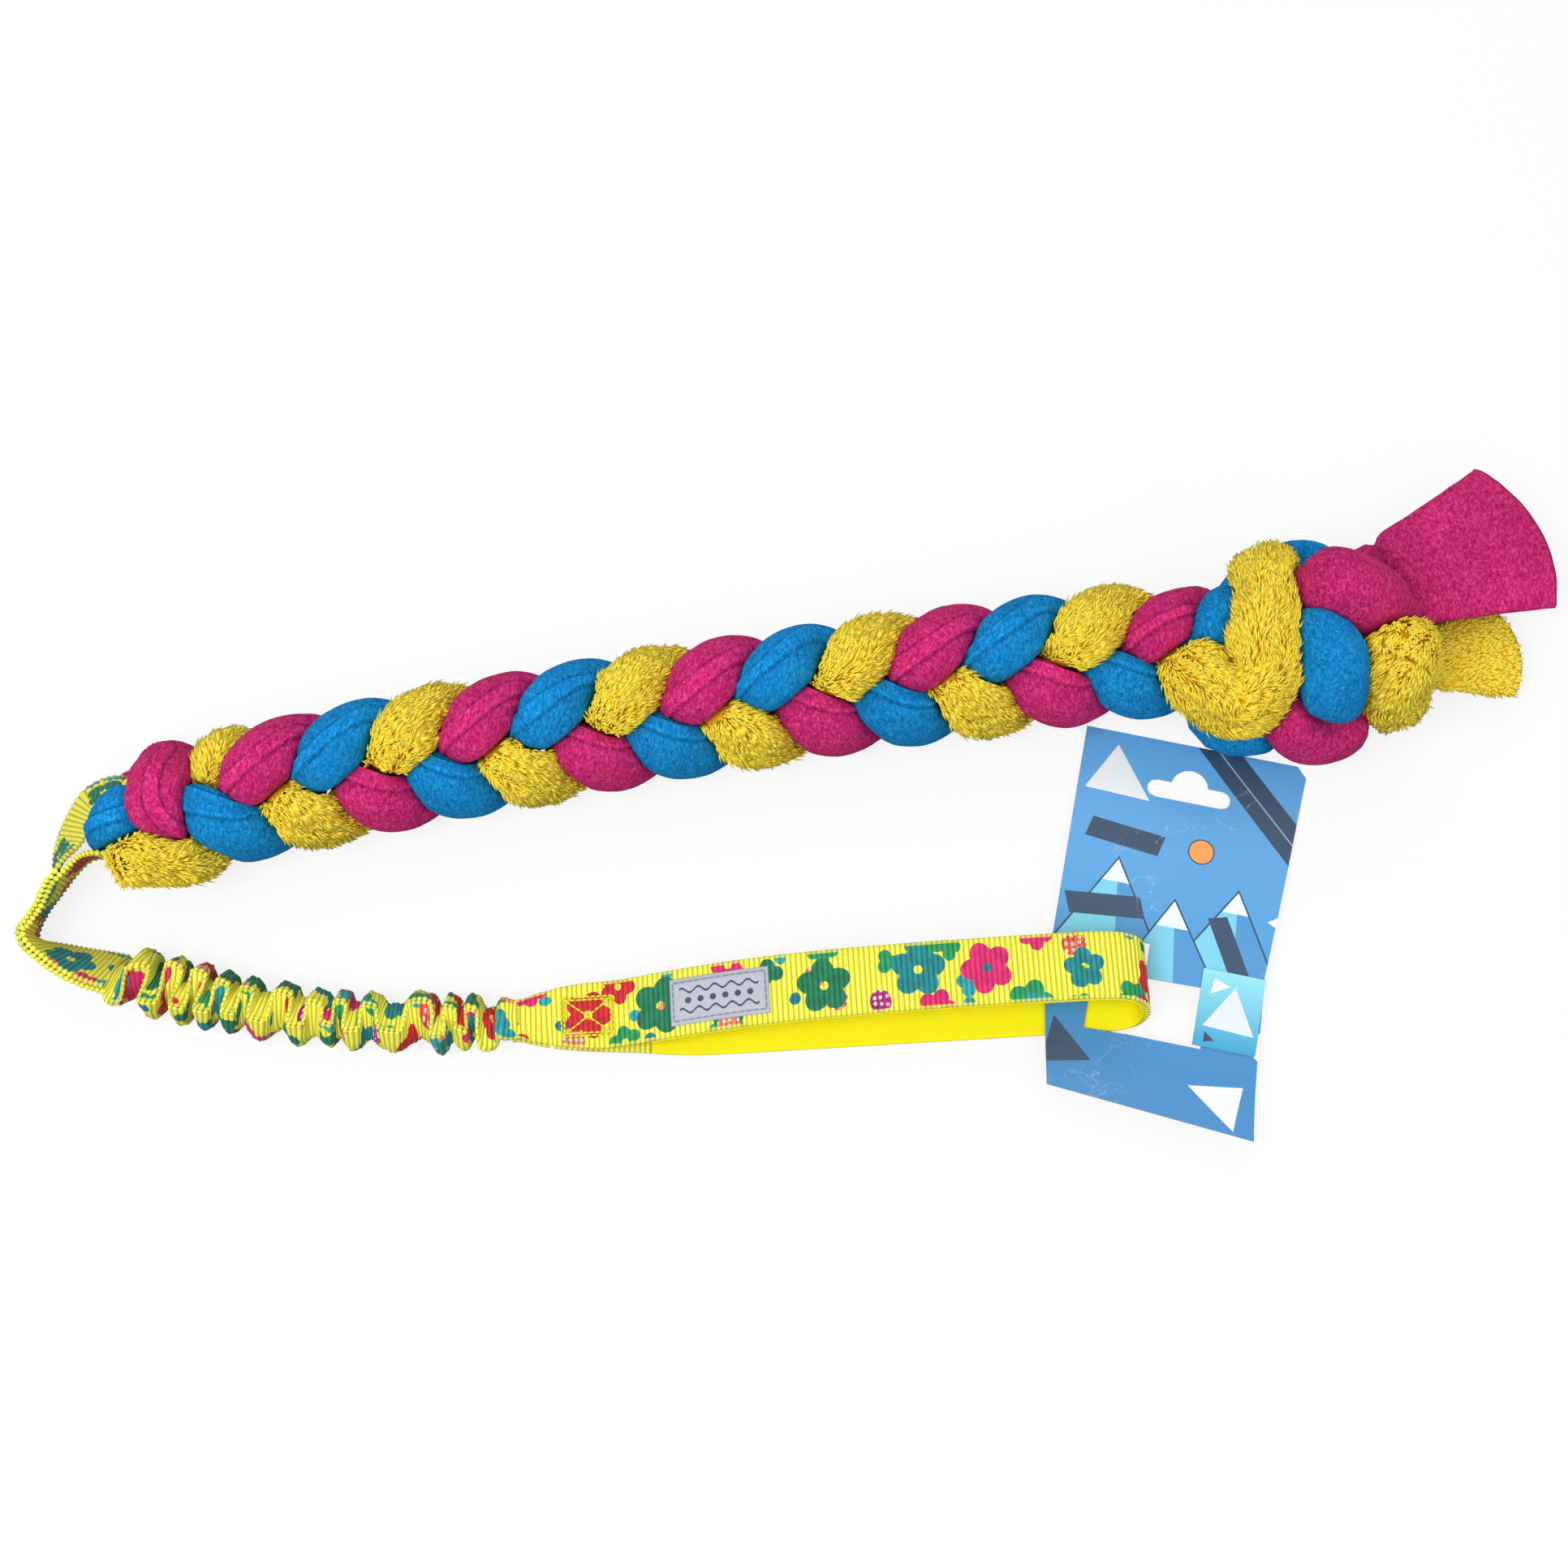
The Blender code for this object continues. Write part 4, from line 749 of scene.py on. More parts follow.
# The printed webbing: 25 mm grosgrain, a ribbed polyester ribbon with a beaded selvedge along each edge. It is
# printed in bright inks, and every strap of the toy is cut from it and sewn.
WEB_WIDTH = 0.0245
WEB_THICKNESS = 0.0016
LAYER_GAP = 0.0005
RIB_PITCH = 0.0019
RIB_HEIGHT = 0.00056
RIB_SAMPLES = 6
WEB_COLUMNS = 14
SELVEDGE = 0.0012
SELVEDGE_SWELL = 0.00050
WEB_FLOOR = 0.0001


def resample(route, values, step):
    """Even steps along a route, with its other values carried along."""
    along = distances_along(route)
    count = max(2, round(along[-1] / step) + 1)
    wanted = np.linspace(0, along[-1], count)
    moved = np.stack([np.interp(wanted, along, column) for column in route.T], axis=1)
    carried = [np.stack([np.interp(wanted, along, c) for c in np.atleast_2d(v.T)], axis=1) for v in values]
    return moved, carried


def layered_body(name, top, bottom, along, shares, cloth_width):
    """A closed thin body between rows of upper and lower points, with its cloth map in metres."""
    columns = len(shares)
    grid = np.concatenate((top, bottom[:, ::-1]), axis=1)
    grid[:, :, 2] = np.maximum(grid[:, :, 2], WEB_FLOOR)
    count = len(grid)
    numbers, faces = tube_faces(count, 2 * columns)
    for ends, turned in ((numbers[0], True), (numbers[-1], False)):
        for k in range(columns - 1):
            face = [int(ends[n]) for n in (k, k + 1, 2 * columns - 2 - k, 2 * columns - 1 - k)]
            faces.append(face[::-1] if turned else face)
    made = mesh_object(name, grid.reshape(-1, 3), faces)
    cloth = np.empty((count, 2 * columns, 2))
    cloth[:, :, 0] = along[:, None]
    cloth[:, :, 1] = (np.concatenate((shares, shares[::-1]))[None] + 0.5) * cloth_width
    corner_points = np.empty(len(made.data.loops), np.int32)
    made.data.loops.foreach_get("vertex_index", corner_points)
    layer = made.data.uv_layers.new(name="cloth")
    layer.data.foreach_set("uv", cloth.reshape(-1, 2)[corner_points].astype(np.float32).ravel())
    return made


def ribbon_body(name, middle, half, along, shares, cloth_width):
    """A web from a grid of middle points and half thicknesses, which keeps its own length."""
    normals = np.cross(np.gradient(middle, axis=0), np.gradient(middle, axis=1))
    normals /= np.linalg.norm(normals, axis=2)[:, :, None] + NEAR_ZERO
    top = middle + normals * half[:, :, None]
    bottom = middle - normals * half[:, :, None]
    made = layered_body(name, top, bottom, along, shares, cloth_width)
    made["cloth_length"] = float(along[-1] - along[0])
    return made


def web_shares():
    """Places across a web from edge to edge, closer together over its selvedges."""
    edge = np.array((-0.5, -0.486, -0.462, -0.436))
    return np.concatenate((edge, np.linspace(-0.38, 0.38, WEB_COLUMNS - 8), -edge[::-1]))


def web_relief(along, from_edge):
    """Half thickness of the ribbon: ribs across it, and a beaded selvedge along each edge."""
    ribs = WEB_THICKNESS / 2 + (np.abs(np.sin(math.pi * along / RIB_PITCH)) ** 0.8 - 0.5) * RIB_HEIGHT
    bead = WEB_THICKNESS / 2 + (0.25 - 0.75 * np.cos(2 * math.pi * along / RIB_PITCH)) * SELVEDGE_SWELL
    rounded = np.sqrt(np.clip(1 - ((from_edge - SELVEDGE / 2) / (SELVEDGE * 0.62)) ** 2, 0.02, 1))
    return np.where(from_edge < SELVEDGE, bead[:, None] * rounded, ribs[:, None] + 0 * from_edge)


def web_piece(name, centres, across, widths, cloth_from=0.0, plain_thickness=None, crown=None):
    """A ribbon through the centre points, with unit edge directions: ribbed, or plain in its own thickness.

    crown gives how far each point stands off the ribbon's middle, by row and by column from edge to edge.
    """
    along = distances_along(centres) + cloth_from
    shares = web_shares()
    middle = centres[:, None] + across[:, None] * (shares[None, :, None] * widths[:, None, None])
    from_edge = (0.5 - np.abs(shares))[None, :] * widths[:, None]
    if crown is not None:
        faces_up = unit(np.cross(np.gradient(centres, axis=0), across))
        middle = middle + faces_up[:, None] * crown(along, shares)[:, :, None]
    if plain_thickness is None:
        half = web_relief(along, from_edge)
    else:
        half = plain_thickness / 2 * (0.55 + 0.45 * np.clip(from_edge / (plain_thickness / 2), 0, 1))
    return ribbon_body(name, middle, half, along, shares, float(widths.max()))


def petal_shape(tree, local, radius, lobes, depth, turn):
    """One inside an outline of rounded lobes about the motif's centre, with a crisp printed edge."""
    apart = add_node(tree, "SeparateXYZ", {0: local})
    angle = add_node(tree, "Math", {0: apart.outputs[1], 1: apart}, operation="ARCTAN2")
    spun = add_node(tree, "Math", {0: angle, 1: lobes / 2, 2: turn}, operation="MULTIPLY_ADD")
    wave = add_node(tree, "Math", {0: spun}, operation="COSINE")
    wave = add_node(tree, "Math", {0: wave}, operation="ABSOLUTE")
    rim = add_node(tree, "Math", {0: wave, 1: depth, 2: 1 - depth}, operation="MULTIPLY_ADD")
    size = add_node(tree, "Math", {0: rim, 1: radius}, operation="MULTIPLY")
    length = add_node(tree, "VectorMath", {0: local}, operation="LENGTH")
    inside = add_node(tree, "Math", {0: size, 1: length.outputs["Value"]}, operation="SUBTRACT")
    crisp = add_node(tree, "Math", {0: inside, 1: 5.0}, operation="MULTIPLY", use_clamp=True)
    return crisp.outputs[0], length.outputs["Value"]


def print_layer(tree, ground, place, *, cell_mm, shift, radius, lobes, depth, inks, spread, chance, eye):
    """One scatter of printed motifs over the ground colour: one in each cell, in one of the inks."""
    scaled = add_node(
        tree,
        "Mapping",
        {"Vector": place, "Location": shift, "Scale": (1000 / cell_mm[0], 1000 / cell_mm[1], 1)},
    )
    cells = add_node(
        tree, "TexVoronoi", {"Vector": scaled, "Scale": 1.0, "Randomness": spread}, voronoi_dimensions="2D"
    )
    local = add_node(tree, "VectorMath", {0: scaled, 1: cells.outputs["Position"]}, operation="SUBTRACT")
    local = add_node(tree, "VectorMath", {0: local, 1: (cell_mm[0], cell_mm[1], 0)}, operation="MULTIPLY")
    random = add_node(tree, "SeparateColor", {0: cells.outputs["Color"]})
    turn = add_node(tree, "Math", {0: random.outputs[1], 1: 6.28}, operation="MULTIPLY")
    growth = add_node(
        tree, "MapRange", {0: random.outputs[2], "To Min": radius * 0.72, "To Max": radius * 1.15}
    )
    inside, reach = petal_shape(tree, local.outputs[0], growth.outputs[0], lobes, depth, turn.outputs[0])
    hollow = add_node(tree, "Math", {0: reach, 1: eye}, operation="GREATER_THAN")
    inside = add_node(tree, "Math", {0: inside, 1: hollow}, operation="MULTIPLY").outputs[0]
    picked = add_node(tree, "ValToRGB", {"Fac": random})
    ramp = picked.color_ramp
    ramp.interpolation = "CONSTANT"
    for number, ink in enumerate(inks):
        element = ramp.elements[number] if number < 2 else ramp.elements.new(number / len(inks))
        element.position = number / len(inks)
        element.color = linear(ink)
    share = add_node(tree, "Math", {0: random.outputs[2], 1: 1 - chance}, operation="GREATER_THAN")
    shown = add_node(tree, "Math", {0: share, 1: inside}, operation="MULTIPLY")
    shade = add_node(tree, "TexNoise", {"Vector": place, "Scale": 260.0, "Detail": 2.0})
    tint = add_node(
        tree,
        "MapRange",
        {0: shade.outputs["Fac"], "From Min": 0.35, "From Max": 0.65, "To Min": 0.78, "To Max": 1.12},
    )
    inked = add_node(tree, "VectorMath", {0: picked, "Scale": tint}, operation="SCALE")
    mixed = add_node(tree, "Mix", {0: shown}, data_type="RGBA")
    tree.links.new(ground, mixed.inputs[6])
    tree.links.new(inked.outputs[0], mixed.inputs[7])
    return mixed.outputs[2], shown.outputs[0]


def printed_web(name):
    """Grosgrain polyester, lemon yellow with a transfer print: flowers, leaves and pebbles in bright inks.

    The weft ribs catch the light on their crowns; the colour is darkened in the valleys between them as painted
    shade.
    """
    made, tree, shader = open_material(name)
    place = add_node(tree, "UVMap", uv_map="cloth").outputs[0]
    threads = add_node(tree, "TexNoise", {"Vector": place, "Scale": 900.0, "Detail": 2.0})
    base = add_node(
        tree,
        "Mix",
        {0: threads.outputs["Fac"], 6: linear("#ECE52A"), 7: linear("#F8F45E")},
        data_type="RGBA",
    )
    colour = base.outputs[2]
    flowers = {
        "cell_mm": (30, 24.5),
        "shift": (0.31, -0.39, 0),
        "radius": 9.4,
        "lobes": 5,
        "depth": 0.30,
        "inks": ("#E0256F", "#0F7A52", "#D4202B", "#128A8E"),
        "spread": 0.22,
        "chance": 0.95,
        "eye": 1.6,
    }
    leaves = {
        "cell_mm": (23, 13),
        "shift": (0.10, 0.62, 0),
        "radius": 4.6,
        "lobes": 3,
        "depth": 0.42,
        "inks": ("#1E9A5C", "#0F7A52", "#2AA3A8", "#F09A6A"),
        "spread": 0.60,
        "chance": 0.50,
        "eye": 0.0,
    }
    drops = {
        "cell_mm": (14, 11),
        "shift": (0.45, 0.30, 0),
        "radius": 2.5,
        "lobes": 1,
        "depth": 0.45,
        "inks": ("#2AA3A8", "#0E7F8C"),
        "spread": 0.80,
        "chance": 0.38,
        "eye": 0.0,
    }
    pebbles = {
        "cell_mm": (29, 17),
        "shift": (0.80, 0.15, 0),
        "radius": 4.3,
        "lobes": 1,
        "depth": 0.22,
        "inks": ("#B0187A", "#EE8A55", "#B0187A", "#E8613A"),
        "spread": 0.55,
        "chance": 0.42,
        "eye": 0.0,
    }
    cut_flowers = {
        "cell_mm": (37, 24.5),
        "shift": (0.80, 0.12, 0),
        "radius": 7.6,
        "lobes": 5,
        "depth": 0.30,
        "inks": ("#D4202B", "#1E9A5C", "#E0256F", "#2AA3A8"),
        "spread": 0.22,
        "chance": 0.85,
        "eye": 1.3,
    }
    for scatter in (cut_flowers, leaves, drops, pebbles):
        colour, shown = print_layer(tree, colour, place, **scatter)
    dots = add_node(
        tree, "TexVoronoi", {"Vector": place, "Scale": 400.0, "Randomness": 0.35}, voronoi_dimensions="2D"
    )
    spots = add_node(tree, "Math", {0: dots.outputs["Distance"], 1: 0.27}, operation="LESS_THAN")
    dotted = add_node(tree, "Math", {0: spots, 1: shown}, operation="MULTIPLY")
    speckled = add_node(tree, "Mix", {0: dotted, 7: linear("#F6DCD2")}, data_type="RGBA")
    tree.links.new(colour, speckled.inputs[6])
    colour = print_layer(tree, speckled.outputs[2], place, **flowers)[0]
    apart = add_node(tree, "SeparateXYZ", {0: place})
    # Painted shade between the weft ribs: the colour falls to 0.42 in each rib valley.
    rib = add_node(tree, "Math", {0: apart, 1: math.pi / RIB_PITCH}, operation="MULTIPLY")
    rib = add_node(tree, "Math", {0: rib}, operation="SINE")
    rib = add_node(tree, "Math", {0: rib}, operation="ABSOLUTE")
    rib_painted_shade = add_node(
        tree, "MapRange", {0: rib, "From Min": 0.05, "From Max": 0.75, "To Min": 0.42, "To Max": 1.0}
    )
    off_middle = add_node(tree, "Math", {0: apart.outputs[1], 1: WEB_WIDTH / 2}, operation="SUBTRACT")
    off_middle = add_node(tree, "Math", {0: off_middle}, operation="ABSOLUTE")
    edge = add_node(tree, "Math", {0: off_middle, 1: WEB_WIDTH / 2 - SELVEDGE}, operation="GREATER_THAN")
    unprinted = add_node(tree, "Math", {0: edge, 1: 0.72}, operation="MULTIPLY")
    bordered = add_node(tree, "Mix", {0: unprinted, 6: colour, 7: linear("#EDE94A")}, data_type="RGBA")
    shaded = add_node(tree, "VectorMath", {0: bordered.outputs[2], "Scale": rib_painted_shade}, operation="SCALE")
    tree.links.new(shaded.outputs[0], shader.inputs["Base Color"])
    shader.inputs["Roughness"].default_value = 0.62
    shader.inputs["Specular IOR Level"].default_value = 0.35
    shader.inputs["Sheen Weight"].default_value = 0.12
    warp = add_node(tree, "Mapping", {"Vector": place, "Scale": (500, 2400, 1)})
    fine = add_node(tree, "TexNoise", {"Vector": warp, "Scale": 1.0, "Detail": 2.0})
    bump = add_node(tree, "Bump", {"Strength": 0.35, "Distance": 0.0003, "Height": fine.outputs["Fac"]})
    tree.links.new(bump.outputs[0], shader.inputs["Normal"])
    return made


WEB_CLOTH = printed_web("printed_grosgrain_web")

# The loop and neck: one ribbon whose loop passes through the strands' folds. Both ends are laid together below
# it and sewn across, so that the loop and the upper half of the two-layer neck are one piece.
HINGE_GAP = 0.0003
LOOP_ROUTE = (
    (-0.2736, -0.0268, 0.0000, 16, 1.00),
    (-0.2730, -0.0210, 0.0000, 28, 1.00),
    (-0.2708, -0.0135, 0.0000, 40, 1.00),
    (-0.2668, -0.0040, 0.0010, 44, 1.00),
    (-0.2618, 0.0022, 0.0035, 46, 1.00),
    (-0.2540, 0.0042, 0.0075, 48, 0.90),
    (-0.2462, 0.0026, 0.0092, 54, 0.68),
    (-0.2402, 0.0000, 0.0095, 60, 0.54),
    (-0.2375, -0.0055, 0.0090, 66, 0.50),
    (-0.2385, -0.0115, 0.0075, 64, 0.50),
    (-0.2425, -0.0165, 0.0040, 58, 0.54),
    (-0.2475, -0.0200, 0.0005, 34, 0.70),
    (-0.2525, -0.0210, 0.0000, 4, 0.92),
    (-0.2580, -0.0192, 0.0000, -8, 1.00),
    (-0.2632, -0.0200, 0.0000, -12, 1.00),
    (-0.2676, -0.0242, 0.0000, -12, 1.00),
)
STRAP_ROUTE = (
    (-0.2742, -0.0315, 0.00, -10),
    (-0.2777, -0.0385, 0.00, -14),
    (-0.2808, -0.0448, 0.00, -12),
    (-0.2818, -0.0492, 0.00, -6),
    (-0.2785, -0.0528, 0.00, 8),
    (-0.2715, -0.0562, 0.00, 20),
    (-0.2635, -0.0595, 0.00, 30),
    (-0.2562, -0.0617, 0.02, 36),
)
STRAP_END_LEAN = 38
SLEEVE_ROUTE = (
    (-0.2494, -0.0634),
    (-0.2173, -0.0712),
    (-0.1901, -0.0770),
    (-0.1631, -0.0800),
    (-0.1363, -0.0812),
    (-0.1126, -0.0808),
    (-0.1010, -0.0806),
)
SLEEVE_START_GAP = -0.0004
ELASTIC_THICKNESS = 0.0030
ELASTIC_OFFSET = (ELASTIC_THICKNESS + WEB_THICKNESS) / 2 + 0.0004
SLEEVE_MIDDLE = ELASTIC_OFFSET + 0.0062 + WEB_THICKNESS / 2 - 0.0005
LAYER_OFFSET = (WEB_THICKNESS + LAYER_GAP) / 2
WEB_STEP = RIB_PITCH / RIB_SAMPLES
NECK_MIDDLE = 0.0105
NECK_LEAN = 10


def leaning_web(points, widths):
    """A standing web's middle line and edge directions, from x, y, foot height and lean in degrees."""
    plan = points[:, :2]
    tangents = unit(np.gradient(plan, axis=0))
    lean = np.radians(points[:, 3])
    inward = np.stack((tangents[:, 1], -tangents[:, 0]), axis=1) * np.sin(lean)[:, None]
    across = np.column_stack((inward, np.cos(lean)))
    height = points[:, 2] + widths * np.cos(lean) / 2
    return np.column_stack((plan, height)), across


def strap_points():
    """The strap's line from the neck to the sleeve: x, y, foot height and lean in degrees."""
    first = np.array(SLEEVE_ROUTE[0])
    run = np.array(SLEEVE_ROUTE[1]) - first
    last = first - run / np.linalg.norm(run) * SLEEVE_START_GAP
    points = smooth_route((*STRAP_ROUTE, (*last, 0.04, STRAP_END_LEAN)), WEB_STEP, placed=2)
    points[:, 2] *= SLEEVE_MIDDLE
    return points


def on_face(route, across, offset):
    """A web's line moved off its route along its face."""
    faces = unit(np.cross(np.gradient(route, axis=0), across))
    return route + faces * np.broadcast_to(offset, len(route))[:, None]


strap = strap_points()
strap_route, strap_across = leaning_web(strap, np.full(len(strap), WEB_WIDTH))
strap_along = distances_along(strap_route)
neck_rows = int(np.searchsorted(strap_along, NECK_MIDDLE))
strap_offsets = LAYER_OFFSET + (ELASTIC_OFFSET - LAYER_OFFSET) * strap[:, 2] / SLEEVE_MIDDLE

head = strap[:2, :2]
neck_run = (head[1] - head[0]) / np.linalg.norm(head[1] - head[0])
neck_side = np.array((neck_run[1], -neck_run[0]))
foot = head[0] - neck_run * HINGE_GAP
outer = (*(foot + neck_side * LAYER_OFFSET), 0, NECK_LEAN, 1)
inner = (*(foot - neck_side * LAYER_OFFSET), 0, -NECK_LEAN, 1)
loop = smooth_route((outer, *LOOP_ROUTE, inner), WEB_STEP, placed=2)
loop_widths = loop[:, 4] * WEB_WIDTH
loop_route, loop_across = leaning_web(loop, loop_widths)
outer_neck = on_face(strap_route, strap_across, strap_offsets)
inner_neck = on_face(strap_route, strap_across, -strap_offsets)
ribbon = np.concatenate((outer_neck[neck_rows:0:-1], loop_route, inner_neck[1 : neck_rows + 1]))
edges = np.concatenate((strap_across[neck_rows:0:-1], loop_across, strap_across[1 : neck_rows + 1]))
full = np.full(neck_rows, WEB_WIDTH)
widths = np.concatenate((full, loop_widths, full))
ribbon, (edges, widths) = resample(ribbon, (edges, widths), WEB_STEP)
edges = unit(blur(edges, 3, 0))
loop_web = web_piece("tug_loop_ribbon", ribbon + ORIGIN_SHIFT, edges, widths[:, 0], cloth_from=0.210)
loop_web.data.materials.append(WEB_CLOTH)
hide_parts("tug_loop_web", "neck_inner_web", "neck_outer_web")
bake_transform(loop_web)

# The turn: two more lengths of the same webbing, one on each face. They run on from the neck round a folded
# corner, and twist flat into the sleeve's end, where they are sewn in.
TURN_POINT = np.array((-0.2818, -0.0492))
TURN_WIDTH_SHARE = 0.995
turn_row = int(np.argmin(np.linalg.norm(strap[:, :2] - TURN_POINT, axis=1)))
turn_heading = strap[turn_row, :2] - strap[turn_row - 4, :2]
turn_heading = np.array((*(turn_heading / np.linalg.norm(turn_heading)), 0))
for layer, line, cloth_from, node_name in (
    ("outer", outer_neck, 0.330, "turn_outer_web"),
    ("inner", inner_neck, 0.420, "turn_inner_web"),
):
    piece = web_piece(
        f"turn_{layer}_ribbon",
        line[neck_rows:] + ORIGIN_SHIFT,
        strap_across[neck_rows:],
        np.full(len(line) - neck_rows, WEB_WIDTH * TURN_WIDTH_SHARE),
        cloth_from=cloth_from,
    )
    piece.data.materials.append(WEB_CLOTH)
    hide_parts(node_name)
    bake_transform(piece)

# The sleeve: two ribbons sewn together along both edges over a much shorter elastic, so that they buckle. The
# sewn edges show on top as one beaded line that winds from side to side, and each ribbon bulges in ruffles.
SLEEVE_WAVES = 13
SLEEVE_ROWS = 900
SEAM_SWING = 0.0064
SEAM_HOOK = -0.0011
SEWN_EDGE_SHARE = 0.55
SEWN_EDGE_REACH = 0.0040
SIDE_REACH = 0.0080
RUFFLE_SWELL = 0.0026
SLEEVE_HALF_HEIGHT = 0.0086
SLEEVE_TWIST_FROM = 0.86
SLEEVE_FLAT_SHARE = 0.13
SLEEVE_END_REACH = 0.0070
SLEEVE_END_HALF_HEIGHT = 0.0022
SELVEDGE_OFFSET = 0.00042
CREST_RISE = 0.0012
UPPER_FULLNESS = 1.6
LOWER_FULLNESS = 0.8
UNDERSIDE_SHARE = 0.7
RUFFLE_DRIFT = 0.35
HEIGHT_WAVE = 0.10
HEIGHT_RIPPLE = 0.12
RUFFLE_CREASE = 0.0006
SLEEVE_KNOT_SCATTER = 0.40
RUFFLE_SIZES = (0.40, 1.25)
SLEEVE_EASE_SHARES = (0.04, 0.10)
SLEEVE_MOUTH_SHARE = 0.05
SLEEVE_MOUTH_LEAST = 0.18
SLEEVE_FLAT_INSET = 0.0003
SLEEVE_RISE = 0.0006

plan = smooth_route(SLEEVE_ROUTE, 0.001, placed=2)
marks = np.linspace(0, 1, len(plan))
wanted = np.linspace(0, 1, SLEEVE_ROWS)
plan = np.stack([np.interp(wanted, marks, c) for c in plan.T], axis=1)
run = unit(np.gradient(plan, axis=0))
run = np.column_stack((run, np.zeros(SLEEVE_ROWS)))
side = np.column_stack((-run[:, 1], run[:, 0], np.zeros(SLEEVE_ROWS)))
sky_up = np.tile((0.0, 0.0, 1.0), (SLEEVE_ROWS, 1))
chance = np.random.default_rng(5)
knots = np.linspace(0, 1, SLEEVE_WAVES + 1)
knots[1:-1] += chance.uniform(-SLEEVE_KNOT_SCATTER, SLEEVE_KNOT_SCATTER, SLEEVE_WAVES - 1) / SLEEVE_WAVES
phase = (np.interp(wanted, knots, np.arange(SLEEVE_WAVES + 1)) * 2 + 1) * math.pi
sizes = blur(
    np.interp(wanted, knots, chance.uniform(*RUFFLE_SIZES, SLEEVE_WAVES + 1))[:, None], 20, 0
)[:, 0]
ease = np.minimum(wanted / SLEEVE_EASE_SHARES[0], (1 - wanted) / SLEEVE_EASE_SHARES[1])
ease = np.clip(ease, 0, 1)
sizes *= ease * (2 - ease)
twist = eased(np.clip((wanted - SLEEVE_TWIST_FROM) / (1 - SLEEVE_TWIST_FROM), 0, 1))
opening = np.clip(wanted / SLEEVE_MOUTH_SHARE, SLEEVE_MOUTH_LEAST, 1) ** 0.6
flat_start = eased(np.clip(1 - wanted / SLEEVE_FLAT_SHARE, 0, 1))
half_height = SLEEVE_HALF_HEIGHT * (1 - twist) + SLEEVE_END_REACH * twist
half_height += (WEB_WIDTH / 2 - SLEEVE_FLAT_INSET - SLEEVE_HALF_HEIGHT) * flat_start
side_reach = (SIDE_REACH * (1 - twist) + SLEEVE_END_HALF_HEIGHT * twist) * opening
turned = twist * math.pi / 2 + math.radians(STRAP_END_LEAN) * flat_start
across_way = side * np.cos(turned)[:, None] + sky_up * np.sin(turned)[:, None]
upright = sky_up * np.cos(turned)[:, None] - side * np.sin(turned)[:, None]
middle_line = np.column_stack((plan, np.full(SLEEVE_ROWS, SLEEVE_MIDDLE + SLEEVE_RISE))) + ORIGIN_SHIFT
shares = web_shares()


def rounded(wave):
    """A wave from -1 to 1 with broader crests."""
    return wave * (1.5 - 0.5 * wave**2)


seam_line = middle_line + side * (SEAM_SWING * sizes * rounded(np.sin(phase)))[:, None]
seam_line += run * (SEAM_HOOK * sizes * np.sin(2 * phase))[:, None]
cloth_along = distances_along(seam_line)

for name, node_name, way, seed, cloth_from in (
    ("sleeve_upper_ruffles", "sleeve_upper_web", 1, 5, 0.520),
    ("sleeve_lower_ruffles", "sleeve_lower_web", -1, 6, 0.030),
):
    drift = noise_field((SLEEVE_ROWS, WEB_COLUMNS), seed, 26, 0)
    points = np.empty((SLEEVE_ROWS, WEB_COLUMNS, 3))
    for column, share in enumerate(shares):
        angle = (share + 0.5) * math.pi
        if share < 0:
            out, upward_share = math.sin(angle) ** UPPER_FULLNESS, -2 * share
        else:
            out, upward_share = math.sin(angle) ** LOWER_FULLNESS, math.cos(angle)
        under = 1 if share < 0 else UNDERSIDE_SHARE
        wave = rounded(np.sin(phase + RUFFLE_DRIFT * drift[:, column] * out))
        seam = SEAM_SWING * sizes * wave * (1 - out) * under
        ruffle = RUFFLE_SWELL * sizes * (way * wave) * out
        bulge = way * (side_reach * out + ruffle + SELVEDGE_OFFSET * (1 - out))
        hook = SEAM_HOOK * sizes * np.sin(2 * phase) * (1 - out)
        crest = CREST_RISE * (1 - out) * (share < 0) * sizes
        slow = HEIGHT_WAVE * sizes * np.cos(phase) * way * out
        quick = HEIGHT_RIPPLE * sizes * np.cos(2 * phase + 0.6)
        high = crest + half_height * upward_share * (1 - slow - quick)
        crease = RUFFLE_CREASE * sizes * np.sin(3 * phase + 4 * drift[:, column] + seed) * out
        points[:, column] = (
            middle_line
            + across_way * (seam + bulge + way * crease)[:, None]
            + upright * high[:, None]
            + run * hook[:, None]
        )
    from_edge = (0.5 - np.abs(shares))[None] * np.full((SLEEVE_ROWS, 1), WEB_WIDTH)
    half = web_relief(cloth_along + cloth_from, from_edge)
    half *= SEWN_EDGE_SHARE + (1 - SEWN_EDGE_SHARE) * np.clip(from_edge / SEWN_EDGE_REACH, 0, 1)
    piece = ribbon_body(name, points, half, cloth_along + cloth_from, shares, WEB_WIDTH)
    piece.data.materials.append(WEB_CLOTH)
    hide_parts(node_name)
    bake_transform(piece)

# The hand loop: one length of the same webbing, folded over at the far end. It runs out along the top, round
# the end and back along the floor, and is sewn down at the throat, beside the gathered sleeve.
HANDLE_START = np.array((-0.1004, -0.0806))
HANDLE_HEADING = math.radians(3.4)
HANDLE_LEAN_SHARE = 0.38
HANDLE_ROUTE = (
    (0.0540, 0.0142),
    (0.0780, 0.0186),
    (0.1080, 0.0218),
    (0.1450, 0.0236),
    (0.1850, 0.0242),
    (0.2120, 0.0238),
    (0.2235, 0.0210),
    (0.2285, 0.0145),
    (0.2278, 0.0065),
    (0.2225, 0.0022),
    (0.2120, 0.0008),
    (0.1950, 0.0008),
    (0.1450, 0.0008),
    (0.1000, 0.0008),
    (0.0640, 0.0016),
    (0.0400, 0.0060),
)
THROAT_SHARE = 0.58
THROAT_EASE = 0.032
